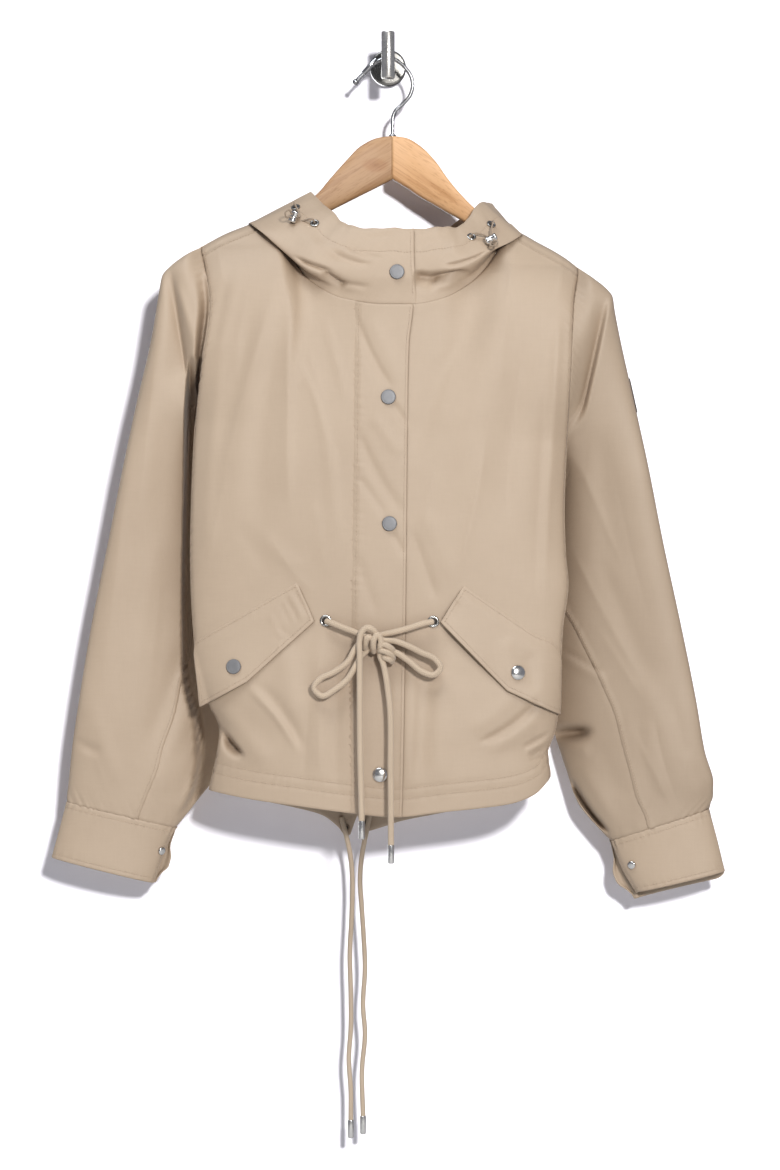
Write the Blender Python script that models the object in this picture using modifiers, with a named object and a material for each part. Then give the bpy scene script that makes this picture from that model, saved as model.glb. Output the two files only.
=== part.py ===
"""Cropped hooded jacket hanging on a wooden hanger from a wall hook.

Lengths are in millimetres in the tables and in metres in the meshes.
X runs to the viewer's right, Y into the wall and Z up; the origin is the
centre of the wall plate's back face.  Right and left are the wearer's.
"""
import math

import bmesh
import bpy
import numpy as np
from mathutils import Matrix, Vector

MM = 0.001
CLOTH = 1.2          # wall of the shell cloth
DOUBLE = 1.6         # flaps, cuffs and placket, sewn double
SEAM = 0.3           # half of the gap left at a seam
LIFT = 1.9           # a piece that lies on a panel starts this far out

for old in list(bpy.data.objects):
    bpy.data.objects.remove(old, do_unlink=True)

jacket = bpy.data.collections.new("cropped_jacket")
bpy.context.scene.collection.children.link(jacket)


# ------------------------------------------------------------ curve reading
def table(columns, *rows):
    names = columns.split()
    return {name: np.array([row[i] for row in rows], float)
            for i, name in enumerate(names)}


def along(xs, ys):
    """A smooth curve through a table's points that never overshoots them."""
    xs, ys = np.asarray(xs, float), np.asarray(ys, float)
    order = np.argsort(xs)
    xs, ys = xs[order], ys[order]
    h = np.diff(xs)
    d = np.diff(ys, axis=0) / h.reshape((-1,) + (1,) * (ys.ndim - 1))
    m = np.zeros_like(ys)
    hh = h.reshape((-1,) + (1,) * (ys.ndim - 1))
    w1, w2 = 2 * hh[1:] + hh[:-1], hh[1:] + 2 * hh[:-1]
    same = d[:-1] * d[1:] > 0
    safe0, safe1 = np.where(same, d[:-1], 1.0), np.where(same, d[1:], 1.0)
    m[1:-1] = np.where(same, (w1 + w2) / (w1 / safe0 + w2 / safe1), 0.0)
    m[0], m[-1] = d[0], d[-1]

    def read(at):
        at = np.clip(np.asarray(at, float), xs[0], xs[-1])
        i = np.clip(np.searchsorted(xs, at, side="right") - 1, 0, len(xs) - 2)
        shape = at.shape + (1,) * (ys.ndim - 1)
        step = h[i].reshape(shape)
        q = ((at - xs[i]) / h[i]).reshape(shape)
        return ((1 + 2 * q) * (1 - q) ** 2 * ys[i] + q * (1 - q) ** 2 * step * m[i]
                + q * q * (3 - 2 * q) * ys[i + 1] + q * q * (q - 1) * step * m[i + 1])
    return read


def mix(a, b, q):
    return a + (b - a) * q


# ------------------------------------------------------------ body sections
# One row per height: the two side edges as seen from the front, the depth of
# the side seam and the depths reached at the centre front and centre back.
BODY = table(
    "z     left    right   side   front  back",
    (-152, -188.8, 191.8, -62, -92, -34),
    (-190, -188.8, 191.8, -67, -100, -31),
    (-211, -184.5, 191.8, -70, -104, -29),
    (-250, -179.0, 186.5, -75, -110, -27),
    (-315, -187.5, 183.5, -81, -116, -25),
    (-375, -194.5, 180.7, -86, -119, -24),
    (-460, -198.0, 177.2, -90, -120, -24),
    (-500, -198.6, 178.5, -91, -119, -25),
    (-530, -198.0, 181.0, -92, -118, -26),
    (-575, -195.5, 175.5, -93, -117, -27),
    (-620, -191.0, 173.2, -92, -119, -28),
    (-650, -187.0, 172.5, -90, -121, -29),
    (-678, -178.0, 168.0, -88, -122, -30),
    (-699, -178.5, 161.0, -87, -122, -31),
    (-721, -180.0, 163.5, -86, -122, -31),
    (-745, -183.0, 161.0, -86, -121, -31),
    (-800, -183.0, 156.0, -86, -119, -31),
)
left_x = along(BODY["z"], BODY["left"])
right_x = along(BODY["z"], BODY["right"])
side_y = along(BODY["z"], BODY["side"])
front_reach = along(BODY["z"], BODY["front"])
back_reach = along(BODY["z"], BODY["back"])

# Armholes: top (shoulder point), bottom (underarm) and how far each opens.
ARMHOLE = {"left": dict(top=-189.7, bottom=-372.0, open_front=25, open_back=22),
           "right": dict(top=-210.9, bottom=-388.0, open_front=25, open_back=22)}


def armhole_open(z, which, face):
    hole = ARMHOLE[which]
    middle = (hole["top"] + hole["bottom"]) / 2
    half = (hole["top"] - hole["bottom"]) / 2
    lean = np.clip((z - middle) / half, -1, 1)
    return hole[face] * np.sqrt(1 - lean * lean)


# Top line of the panels, left shoulder to right shoulder: the shoulder rests
# on the hanger, the neckline drops between.
FRONT_TOP = table(
    "x       y     z",
    (-188.8, -66, -189.7),
    (-181.0, -64, -185.0),
    (-164.9, -60, -176.0),
    (-144.8, -56, -167.5),
    (-125.0, -52, -160.0),
    (-108.6, -51, -154.5),
    (-107.0, -64, -163.0),
    (-101.0, -73, -184.0),
    (-89.4, -86, -212.5),
    (-75.1, -95, -228.5),
    (-45.9, -106, -244.5),
    (-5.0, -112, -251.0),
    (24.9, -112, -251.0),
    (55.9, -106, -244.5),
    (80.1, -95, -230.5),
    (103.6, -83, -205.0),
    (115.5, -73, -184.0),
    (119.6, -65, -175.0),
    (121.0, -52, -168.0),
    (136.7, -56, -175.6),
    (150.8, -58, -183.9),
    (165.9, -60, -192.2),
    (178.9, -63, -200.5),
    (191.8, -66, -210.9),
)
BACK_TOP = table(
    "x       y     z",
    (-188.8, -66, -189.7),
    (-181.0, -64, -185.0),
    (-164.9, -60, -176.0),
    (-144.8, -56, -167.5),
    (-125.0, -52, -160.0),
    (-108.6, -51, -154.5),
    (-98.0, -38, -160.0),
    (-86.0, -31, -165.0),
    (-60.0, -28, -172.0),
    (5.0, -27, -178.0),
    (70.0, -28, -177.0),
    (98.0, -31, -173.0),
    (111.0, -39, -170.0),
    (121.0, -52, -168.0),
    (136.7, -56, -175.6),
    (150.8, -58, -183.9),
    (165.9, -60, -192.2),
    (178.9, -63, -200.5),
    (191.8, -66, -210.9),
)
# Hems, left side seam to right side seam.
FRONT_HEM = table(
    "x      z",
    (-183.0, -735.5), (-138.0, -744.0), (-87.7, -751.0), (-37.8, -757.5),
    (11.9, -761.5), (51.7, -757.0), (91.6, -753.0), (121.8, -749.0),
    (147.0, -740.0), (163.4, -724.0))
BACK_HEM = table(
    "x      z",
    (-183.0, -735.5), (-140.0, -748.0), (-95.0, -759.0), (-67.0, -769.0),
    (-49.0, -783.0), (-41.5, -789.0), (-36.0, -786.0), (-32.0, -774.0),
    (-28.0, -781.0), (-22.5, -784.0), (-8.0, -781.5), (12.0, -775.0),
    (53.0, -765.5), (110.0, -751.0), (163.4, -724.0))


def share(x, z):
    """Place across the body, 0 at the left edge and 1 at the right edge."""
    return (x - left_x(z)) / (right_x(z) - left_x(z))


def spread(t, z):
    return mix(left_x(z), right_x(z), t)


front_top_t = share(FRONT_TOP["x"], FRONT_TOP["z"])
back_top_t = share(BACK_TOP["x"], BACK_TOP["z"])
front_top_z = along(front_top_t, FRONT_TOP["z"])
front_top_y = along(front_top_t, FRONT_TOP["y"])
back_top_z = along(back_top_t, BACK_TOP["z"])
back_top_y = along(back_top_t, BACK_TOP["y"])
front_hem_z = along(share(FRONT_HEM["x"], FRONT_HEM["z"]), FRONT_HEM["z"])
back_hem_z = along(share(BACK_HEM["x"], BACK_HEM["z"]), BACK_HEM["z"])

# Largest folds, as seen from the front: ends, half width and height
# (a trough where the height is below zero).
FRONT_FOLDS = table(
    "x0    z0    x1    z1    width height",
    (-165, -310, -180, -440, 11, 6),
    (-118, -255, -160, -500, 15, 8),
    (-98, -240, -100, -360, 12, 5),
    (-135, -300, -150, -480, 9, -5),
    (-104, -350, -86, -515, 12, 6),
    (87, -262, 32, -400, 10, -6),
    (116, -295, 100, -470, 16, 7),
    (150, -270, 160, -470, 13, 6),
    (138, -300, 140, -500, 9, -5),
    (60, -420, 70, -520, 16, 4),
    (-60, -585, -95, -700, 12, 4),
    (-150, -632, -95, -700, 8, -5),
    (-112, -650, -118, -750, 14, 5),
    (168, -645, 92, -700, 10, -5),
    (95, -640, 88, -750, 14, 5),
    (45, -585, 60, -745, 12, 4),
)
BACK_FOLDS = table(
    "x0    z0    x1    z1    width height",
    (-150, -330, -120, -560, 16, 6),
    (-95, -400, -100, -640, 15, 5),
    (135, -350, 105, -580, 16, 6),
    (82, -430, 90, -660, 15, 5),
    (-20, -500, -30, -700, 18, 4),
    (40, -560, 55, -720, 14, 4),
    (-130, -600, -140, -735, 12, 4),
)


def fold_height(folds, x, z):
    """Sum of the soft ridges and troughs at a place on the panel."""
    total = np.zeros_like(x)
    for x0, z0, x1, z1, width, height in zip(*folds.values()):
        dx, dz = x1 - x0, z1 - z0
        length2 = dx * dx + dz * dz
        q = ((x - x0) * dx + (z - z0) * dz) / length2
        off = ((x - x0) * dz - (z - z0) * dx) / math.sqrt(length2)
        ends = np.clip(np.minimum(q, 1 - q) / 0.3 + 0.4, 0, 1)
        ends = ends * ends * (3 - 2 * ends)
        total = total + height * ends * np.exp(-(off / width) ** 2)
    return total


def rolled(drop, radius):
    q = np.clip(drop / radius, 0, 1)
    return np.sqrt(1 - (1 - q) ** 2)


def front_y(x, z):
    """Depth of the front's outside at a place seen from the front."""
    t = np.clip(share(x, z), 0, 1)
    across = 2 * t - 1
    gap = np.where(across < 0, armhole_open(z, "left", "open_front"),
                   armhole_open(z, "right", "open_front"))
    edge = side_y(z) - gap
    full = (1 - np.abs(across) ** 2.6) ** (1 / 2.2)
    flat = edge + (front_reach(z) - edge) * full
    drop = front_top_z(t) - z
    neck = np.clip(1 - np.abs(across) / 0.9, 0, 1) ** 0.5
    roll = rolled(drop, 50 + 55 * neck)
    fade = np.clip(drop / 60, 0, 1) * np.clip((1 - np.abs(across)) / 0.07, 0, 1)
    return mix(front_top_y(t), flat, roll) - fold_height(FRONT_FOLDS, x, z) * fade


def back_y(x, z):
    t = np.clip(share(x, z), 0, 1)
    across = 2 * t - 1
    gap = np.where(across < 0, armhole_open(z, "left", "open_back"),
                   armhole_open(z, "right", "open_back"))
    edge = side_y(z) + gap
    full = np.sqrt(1 - np.abs(across) ** 2)
    flat = edge + (back_reach(z) - edge) * full
    drop = back_top_z(t) - z
    roll = rolled(drop, 40)
    fade = np.clip(drop / 60, 0, 1) * np.clip((1 - np.abs(across)) / 0.2, 0, 1)
    return mix(back_top_y(t), flat, roll) + fold_height(BACK_FOLDS, x, z) * fade


def front_point(x, z):
    x, z = np.asarray(x, float), np.asarray(z, float)
    return np.stack([x, front_y(x, z), z], -1)


def front_normal(x, z):
    step = 1.5
    gx = (front_y(x + step, z) - front_y(x - step, z)) / (2 * step)
    gz = (front_y(x, z + step) - front_y(x, z - step)) / (2 * step)
    n = np.stack([gx, -np.ones_like(gx), gz], -1)
    return n / np.linalg.norm(n, axis=-1, keepdims=True)


# ------------------------------------------------------------ panel outlines
PLACKET = table(
    "z     seam   edge",
    (-240, -35.0, 25.5),
    (-260, -35.2, 24.0),
    (-290, -35.5, 20.5),
    (-400, -36.5, 18.5),
    (-560, -38.5, 17.0),
    (-700, -39.0, 15.0),
    (-770, -40.0, 13.0))
placket_seam = along(PLACKET["z"], PLACKET["seam"])
placket_edge = along(PLACKET["z"], PLACKET["edge"])


def strip_t(line, shift, rows, top, hem):
    """Where an upright line crosses the body, row by row, neck to hem."""
    z_top = -250.0
    z_hem = -758.0
    for _ in range(4):
        z_top = float(top(share(line(z_top) + shift, z_top)))
        z_hem = float(hem(share(line(z_hem) + shift, z_hem)))
    z = mix(z_top, z_hem, rows)
    return share(line(z) + shift, z)


def front_grid(from_t, to_t, cols, rows, lower=0.0):
    """Points of the front between two upright edges, given per row."""
    ta = mix(from_t[None, :], to_t[None, :], cols[:, None])
    top = front_top_z(ta[:, :1]) - lower
    hem = front_hem_z(ta[:, -1:])
    z = mix(top, hem, rows[None, :])
    x = spread(ta, z)
    return front_point(x, z)


def even(n):
    return np.linspace(0, 1, n + 1)


# Rows crowd together just under the shoulder, where the cloth rolls over.
BODY_ROWS = np.concatenate([[0, 0.006, 0.02, 0.045], 0.045 + 0.955 * even(14)[1:]])


# ------------------------------------------------------------ building
def material(name, colour, roughness, metallic=0.0):
    m = bpy.data.materials.new(name)
    m.use_nodes = True
    shader = m.node_tree.nodes["Principled BSDF"]
    shader.inputs["Base Color"].default_value = (*colour, 1)
    shader.inputs["Roughness"].default_value = roughness
    shader.inputs["Metallic"].default_value = metallic
    m.diffuse_color = (*colour, 1)
    return m


BEIGE = (0.58, 0.46, 0.34)
KINDS = {"cloth": (BEIGE, 0.75, 0.0), "cord": ((0.55, 0.44, 0.33), 0.8, 0.0),
         "label": ((0.05, 0.025, 0.02), 0.6, 0.0), "metal": ((0.62, 0.62, 0.6), 0.28, 1.0),
         "wood": ((0.6, 0.36, 0.2), 0.5, 0.0), "steel": ((0.6, 0.6, 0.62), 0.25, 1.0)}


def finish(obj, kind):
    for c in list(obj.users_collection):
        c.objects.unlink(obj)
    jacket.objects.link(obj)
    colour, roughness, metallic = KINDS[kind]
    obj.data.materials.clear()
    obj.data.materials.append(material(obj.name + "_" + kind, colour, roughness, metallic))
    return obj


def grid_mesh(name, points, outward, ring=False):
    """Open surface through a grid of points, faced outward."""
    cols, rows = points.shape[:2]
    verts = points.reshape(-1, 3) * MM
    faces = []
    for i in range(cols if ring else cols - 1):
        k = (i + 1) % cols
        for j in range(rows - 1):
            faces.append((i * rows + j, k * rows + j, k * rows + j + 1, i * rows + j + 1))
    i, j = (cols - 1) // 2, (rows - 1) // 2
    a = points[(i + 1) % cols, j] - points[i, j]
    b = points[i, j + 1] - points[i, j]
    if np.dot(np.cross(a, b), outward) < 0:
        faces = [f[::-1] for f in faces]
    mesh = bpy.data.meshes.new(name)
    mesh.from_pydata([tuple(v) for v in verts], [], faces)
    return bpy.data.objects.new(name, mesh)


def cloth(name, points, outward, wall=CLOTH, ring=False, kind="cloth"):
    """A cloth piece: the outside as a grid, thickened inward."""
    obj = grid_mesh(name, points, outward, ring)
    bpy.context.scene.collection.objects.link(obj)
    solid = obj.modifiers.new("wall", "SOLIDIFY")
    solid.thickness = wall * MM
    solid.offset = -1
    solid.use_rim = True
    return finish(obj, kind)


# ------------------------------------------------------------ fronts and back
side0 = np.zeros_like(BODY_ROWS)
side1 = np.ones_like(BODY_ROWS)
seam_t = strip_t(placket_seam, -SEAM, BODY_ROWS, front_top_z, front_hem_z)
under_t = strip_t(placket_seam, 7.0, BODY_ROWS, front_top_z, front_hem_z)

SIDE_GAP = 0.6       # each side seam's share of the gap

FRONT_COLUMNS = {
    "right": (-188.8, -186, -180, -170, -156, -140, -124, -108.6, -107, -101, -89.4, -75.1, -56),
    "left": (191.8, 189, 183, 173, 160, 147, 134, 121, 119.6, 115.5, 103.6, 88, 70, 52, 36, 22, 8, -10)}


def top_columns(from_t, to_t, tops):
    """Columns that start at chosen places along the shoulder and the neckline."""
    t = np.interp(tops, FRONT_TOP["x"], front_top_t)
    return np.concatenate([(t - from_t) / (to_t - from_t), [1.0]])


for name, outer, inner, tops in (("front_right", side0, seam_t, FRONT_COLUMNS["right"]),
                                 ("front_left", side1, under_t, FRONT_COLUMNS["left"])):
    panel = front_grid(outer, inner, top_columns(outer[0], inner[0], tops), BODY_ROWS, SEAM)
    panel[0, :, 1] -= SIDE_GAP
    cloth(name, panel, (0, -1, 0))

PLACKET_ROWS = even(15)
flap_a = strip_t(placket_seam, SEAM, PLACKET_ROWS, front_top_z, front_hem_z)
flap_b = strip_t(placket_edge, 0.0, PLACKET_ROWS, front_top_z, front_hem_z)
strip = front_grid(flap_a, flap_b, even(3), PLACKET_ROWS, 0.6)
strip = strip + front_normal(strip[..., 0], strip[..., 2]) * LIFT
cloth("placket", strip, (0, -1, 0), DOUBLE)


def back_grid(cols, rows, lower=0.0):
    t = cols[:, None] + 0 * rows[None, :]
    top = back_top_z(t[:, :1]) - lower
    hem = back_hem_z(t[:, -1:])
    z = mix(top, hem, rows[None, :])
    x = spread(t, z)
    return np.stack([x, back_y(x, z), z], -1)


tail_t = share(BACK_HEM["x"][5:10], BACK_HEM["z"][5:10])
back_cols = np.sort(np.concatenate([
    (1 - np.cos(np.pi * even(13))) / 2, tail_t, back_top_t[5:7], back_top_t[-8:-5]]))
back_cols = back_cols[np.concatenate([[True], np.diff(back_cols) > 0.006])]
back = back_grid(back_cols, BODY_ROWS, SEAM)
back[..., 1] += 0.25
back[0, :, 1] += SIDE_GAP
back[-1, :, 1] += SIDE_GAP
cloth("back", back, (0, 1, 0))

# ------------------------------------------------------------ sleeves
# One row per ring down the sleeve: the outer edge, the inner edge, the depth
# of the middle and the half depth.
SLEEVE_LEFT = table(
    "ox      oz      ix      iz      y    half",
    (-205.0, -199.5, -195.5, -373.0, -76, 24),
    (-219.5, -210.5, -196.5, -374.5, -75, 24),
    (-227.5, -220.0, -196.5, -376.0, -74, 24),
    (-230.5, -236.0, -196.5, -377.5, -73, 24),
    (-238.0, -281.0, -196.5, -381.0, -70, 24),
    (-253.0, -346.0, -194.0, -392.0, -64, 23),
    (-266.0, -407.0, -189.5, -440.0, -58, 22),
    (-283.0, -490.0, -184.0, -516.0, -52, 21),
    (-300.0, -573.5, -178.5, -597.0, -48, 20),
    (-312.5, -648.0, -175.5, -671.0, -46, 20),
    (-319.5, -694.0, -179.5, -716.0, -46, 20),
    (-323.5, -728.0, -192.0, -752.0, -46, 19),
    (-326.0, -750.5, -215.5, -777.0, -46, 17),
)
SLEEVE_RIGHT = table(
    "ox      oz      ix      iz      y    half",
    (207.0, -222.5, 182.5, -390.0, -76, 24),
    (219.5, -232.5, 183.5, -391.5, -75, 24),
    (226.0, -241.0, 183.5, -393.0, -74, 24),
    (228.0, -254.0, 183.5, -394.5, -73, 24),
    (233.0, -280.0, 183.5, -398.0, -70, 24),
    (247.0, -343.0, 182.0, -408.0, -64, 23),
    (261.0, -407.0, 177.0, -452.0, -57, 22),
    (277.5, -489.0, 171.0, -524.0, -51, 21),
    (295.5, -571.0, 167.5, -602.0, -47, 20),
    (311.5, -650.0, 171.0, -682.0, -46, 20),
    (320.0, -698.0, 182.5, -722.0, -46, 20),
    (329.5, -731.0, 193.5, -753.0, -46, 19),
    (329.5, -744.0, 213.0, -777.0, -46, 18),
    (325.5, -757.5, 226.0, -790.0, -46, 17),
)
# Where the seams of each sleeve run round it, in degrees from the outer edge,
# from the armhole to the cuff.
SLEEVE_SEAMS = table(
    "down  left  right back",
    (0.00, 132.0, 132.0, 228),
    (0.20, 140.0, 140.0, 232),
    (0.42, 141.0, 141.0, 235),
    (0.49, 137.0, 132.5, 236),
    (0.575, 130.0, 114.0, 238),
    (0.66, 123.0, 102.5, 240),
    (0.69, 117.0, 100.0, 241),
    (0.77, 108.0, 95.5, 243),
    (0.87, 99.0, 95.3, 246),
    (0.96, 102.0, 98.5, 249),
    (1.00, 105.0, 101.0, 250))
seam_front = {side: along(SLEEVE_SEAMS["down"], SLEEVE_SEAMS[side]) for side in ("left", "right")}
seam_back = along(SLEEVE_SEAMS["down"], SLEEVE_SEAMS["back"])


def bent(v, power):
    return np.sign(v) * np.abs(v) ** power


def sleeve_rings(rings, which, turn):
    """Points of every ring at the given turns (degrees), armhole first."""
    a = np.radians(turn)
    c, s = np.cos(a), np.sin(a)
    hole = ARMHOLE[which]
    edge_x = left_x if which == "left" else right_x
    out = -1 if which == "left" else 1
    z = mix(hole["bottom"], hole["top"], (1 + c) / 2)
    y = side_y(z) - np.where(s > 0, armhole_open(z, which, "open_front"),
                             -armhole_open(z, which, "open_back")) * (np.abs(s) > 1e-6)
    y = np.where(c > 0.999, FRONT_TOP["y"][0 if which == "left" else -1], y)
    rows = [np.stack([edge_x(z) + out * 1.6, y, z], -1)]
    for ox, oz, ix, iz, yc, half in zip(*rings.values()):
        q = (1 + bent(c, 0.9)) / 2
        rows.append(np.stack([mix(ix, ox, q), yc - half * bent(s, 0.85), mix(iz, oz, q)], -1))
    return np.stack(rows, 0)


SLEEVE_FOLDS_LEFT = table(
    "x0    z0    x1    z1    width height",
    (-219, -225, -203, -335, 8, -10),
    (-206, -335, -212, -560, 9, -4),
    (-240, -300, -262, -520, 14, 5),
    (-215, -600, -250, -745, 12, 5),
    (-320, -693, -285, -705, 7, -5),
    (-300, -600, -270, -700, 12, 4))
SLEEVE_FOLDS_RIGHT = table(
    "x0    z0    x1    z1    width height",
    (216, -246, 189, -370, 8, -7),
    (190, -375, 233, -450, 10, -4),
    (200, -440, 255, -600, 13, 5),
    (215, -515, 265, -640, 10, -5),
    (235, -560, 300, -740, 13, 5),
    (215, -640, 260, -760, 10, 4))


def stations(rings, which):
    """Share of the sleeve's length at each ring, armhole 0 and cuff 1."""
    ref = sleeve_rings(rings, which, np.array([0.0, 90.0, 180.0, 270.0]))
    steps = np.linalg.norm(np.diff(ref, axis=0), axis=-1).mean(-1)
    return np.concatenate([[0], np.cumsum(steps)]) / steps.sum()


# The outer edge of each sleeve hangs a little forward of its inner edge.
LEAN = table("down left right", (0.0, 0.0, 0.0), (0.12, 4.0, 5.0), (0.35, 15.0, 14.0),
             (0.75, 14.0, 14.0), (1.0, 4.0, 4.0))
lean_y = {side: along(LEAN["down"], LEAN[side]) for side in ("left", "right")}


def sleeve_grid(which, turn, down):
    """Points of a sleeve: turns by columns, places down its length by rows."""
    rings = SLEEVE_LEFT if which == "left" else SLEEVE_RIGHT
    folds = SLEEVE_FOLDS_LEFT if which == "left" else SLEEVE_FOLDS_RIGHT
    at = stations(rings, which)
    turn = np.asarray(turn, float)
    if turn.ndim == 1:
        turn = turn[:, None] + 0 * down[None, :]
    points = np.empty(turn.shape + (3,))
    for j in range(turn.shape[1]):
        rows = sleeve_rings(rings, which, turn[:, j])
        points[:, j] = along(at, rows)(down[j])
    s = np.sin(np.radians(turn))
    weight = np.abs(s) ** 1.4 * np.clip(down / 0.05, 0, 1)[None, :]
    bump = fold_height(folds, points[..., 0], points[..., 2]) * weight
    points[..., 1] -= np.where(s > 0, bump, -0.6 * bump)
    points[..., 1] -= lean_y[which](down)[None, :] * bent(np.cos(np.radians(turn)), 0.9)
    return points


def sleeve(which, label):
    at = stations(SLEEVE_LEFT if which == "left" else SLEEVE_RIGHT, which)
    rows = np.concatenate([at[:5], mix(at[4], 1.0, even(10)[1:])])
    gap = 1.1
    lo, hi = seam_front[which](rows) - gap, seam_back(rows) + gap - 360
    top = mix(hi[None, :], lo[None, :], even(14)[:, None])
    under = mix((seam_front[which](rows) + gap)[None, :], (seam_back(rows) - gap)[None, :],
                even(5)[:, None])
    out = (-1, -0.4, 0.2) if which == "left" else (1, -0.4, 0.2)
    cloth(f"sleeve_{label}_top", sleeve_grid(which, top, rows), out)
    side = (1, 0.3, -0.2) if which == "left" else (-1, 0.3, -0.2)
    cloth(f"sleeve_{label}_under", sleeve_grid(which, under, rows), side)


sleeve("left", "r")
sleeve("right", "l")

# ------------------------------------------------------------ cuffs
# Band from the sleeve's end down: outer edge, inner edge and half depth.
CUFF_LEFT = table(
    "down  ox      oz      ix      iz      half",
    (0.0, -326.5, -751.3, -216.0, -778.2, 17.0),
    (0.5, -334.0, -779.0, -228.0, -805.0, 16.5),
    (1.0, -341.5, -806.5, -237.0, -833.0, 17.0))
CUFF_RIGHT = table(
    "down  ox      oz      ix      iz      half",
    (0.0, 326.0, -758.7, 226.5, -791.2, 17.0),
    (0.5, 334.5, -789.5, 236.0, -815.5, 16.5),
    (1.0, 342.0, -820.5, 251.5, -842.5, 17.0))
CUFF_Y = -46
TAB = 4.5            # the back end runs on past the fold as a pointed tab


def cuff_grid(which, turn, down):
    rows = CUFF_LEFT if which == "left" else CUFF_RIGHT
    get = {k: along(rows["down"], rows[k])(down)[None, :] for k in rows}
    a = np.radians(turn)[:, None]
    c, s = np.cos(a), np.sin(a)
    q = (1 + bent(c, 0.9)) / 2
    x = mix(get["ix"], get["ox"], q)
    z = mix(get["iz"], get["oz"], q)
    y = CUFF_Y - get["half"] * bent(s, 0.85) - 4.0 * bent(c, 0.9) * (1 - 0.4 * get["down"]) + 0 * x
    return np.stack([x, y, z], -1)


def cuff(which, label):
    down = even(4)
    turn = np.concatenate([np.linspace(174, -140, 20), [-152, -160]])
    points = cuff_grid(which, turn, down)
    fold = cuff_grid(which, np.array([180.0]), down)[0]
    reach = np.array([0.15, 0.6, 1.0, 0.6, 0.1])
    way = 1 if which == "left" else -1
    for part, back_off in ((0.35, 9.0), (1.0, 7.0)):
        end = fold + np.stack([way * TAB * part * reach, np.full(5, back_off), -0.25 * TAB * part * reach], -1)
        points = np.concatenate([points, end[None]], 0)
    out = (-1, 0, 0.2) if which == "left" else (1, 0, 0.2)
    cloth(f"cuff_{label}", points, out, DOUBLE)


cuff("left", "r")
cuff("right", "l")

# ------------------------------------------------------------ hood
# One row per bearing round the neck (0 front, 180 back, positive toward the
# viewer's left): the roll or bag that overhangs, then the face edge.
HOOD = table(
    "bearing rise lean ex      ey    ez      mx     my    mz",
    (-180, 7, 5, 2.0, -10, -372.0, 2.0, -4, -192.0),
    (-160, 7, 5, 48.0, -10, -355.0, 28.0, -5, -187.0),
    (-140, 7, 5, 96.0, -11, -292.0, 52.0, -10, -174.0),
    (-122, 6, 5, 126.0, -16, -212.0, 74.0, -20, -157.0),
    (-106, 5, 4, 134.0, -36, -173.0, 106.0, -34, -142.5),
    (-92, 6, 3, 133.5, -66, -170.5, 97.0, -51, -142.5),
    (-78, 9, 2, 119.0, -94, -180.0, 88.0, -65, -149.0),
    (-62, 11, 2, 100.0, -108, -194.5, 79.0, -80, -162.0),
    (-45, 11, 2, 82.0, -114, -204.0, 68.0, -93, -171.0),
    (-28, 9, 1, 60.0, -118, -210.0, 52.0, -104, -173.5),
    (0, 9, 0, 12.0, -115, -211.0, 12.0, -108, -174.0),
    (25, 9, 1, -42.0, -119, -214.0, -27.0, -105, -174.0),
    (42, 11, 2, -74.0, -118, -211.0, -43.0, -98, -172.0),
    (58, 12, 2, -101.0, -114, -194.5, -54.0, -86, -160.0),
    (72, 11, 2, -124.0, -102, -177.0, -64.0, -72, -150.0),
    (86, 5, 3, -139.0, -74, -164.5, -74.0, -56, -137.0),
    (100, 4, 4, -141.0, -44, -163.5, -79.0, -44, -131.5),
    (116, 6, 5, -132.0, -19, -203.0, -70.0, -24, -145.0),
    (138, 7, 5, -98.0, -11, -290.0, -48.0, -11, -168.0),
    (160, 7, 5, -46.0, -10, -355.0, -22.0, -5, -186.0),
    (180, 7, 5, 2.0, -10, -372.0, 2.0, -4, -192.0),
)
hood_rise = along(HOOD["bearing"], HOOD["rise"])
hood_lean = along(HOOD["bearing"], HOOD["lean"])
hood_e = along(HOOD["bearing"], np.stack([HOOD["ex"], HOOD["ey"], HOOD["ez"]], -1))
hood_m = along(HOOD["bearing"], np.stack([HOOD["mx"], HOOD["my"], HOOD["mz"]], -1))
NECK_LEFT, NECK_RIGHT, NECK_FRONT, NECK_BACK = -108.6, 121.0, 10.0, 5.0


def neck_ring(bearing):
    """The neck seam, front and back, at a bearing round the neck."""
    a = np.radians(bearing)
    toward = np.where(bearing >= 0, NECK_LEFT, NECK_RIGHT)
    front = np.abs(bearing) <= 90
    middle = np.where(front, NECK_FRONT, NECK_BACK)
    x = middle + (toward - middle) * np.abs(np.sin(a))
    z = np.where(front, -215.0, -172.0)
    for _ in range(25):
        t = share(x, z)
        z = mix(z, np.where(front, front_top_z(t), back_top_z(t)), 0.7)
    t = share(x, z)
    y = np.where(front, front_top_y(t), back_top_y(t))
    return np.stack([x, y, z], -1)


SHARP = 2.2          # how tight the hood's overhanging fold is
STAND = 0.05         # share of the rows taken by the stand above the neck seam


def hood_grid(bearing, up):
    """Up from the neck seam, over the stand, out to the fold and on to the face edge."""
    n = neck_ring(bearing) * np.array([0.99, 1, 1]) + np.array([0, 0, 0.9])
    e, m = hood_e(bearing), hood_m(bearing)
    away = (e - n) * np.array([1, 1, 0])
    away = away / np.linalg.norm(away, axis=-1, keepdims=True)
    r = n + away * hood_lean(bearing)[:, None] + np.array([0, 0, 1]) * hood_rise(bearing)[:, None]
    c = (e * (2 + 2 * SHARP) - r - m) / (2 * SHARP)
    v = np.clip((up - STAND) / (1 - STAND), 0, 1)[None, :, None]
    a, b, d = (1 - v) ** 2, 2 * SHARP * v * (1 - v), v ** 2
    over = (a * r[:, None] + b * c[:, None] + d * m[:, None]) / (a + b + d)
    q = np.clip(up / STAND, 0, 1)[None, :, None]
    return np.where(q < 1, mix(n[:, None], r[:, None], q), over)


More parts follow.
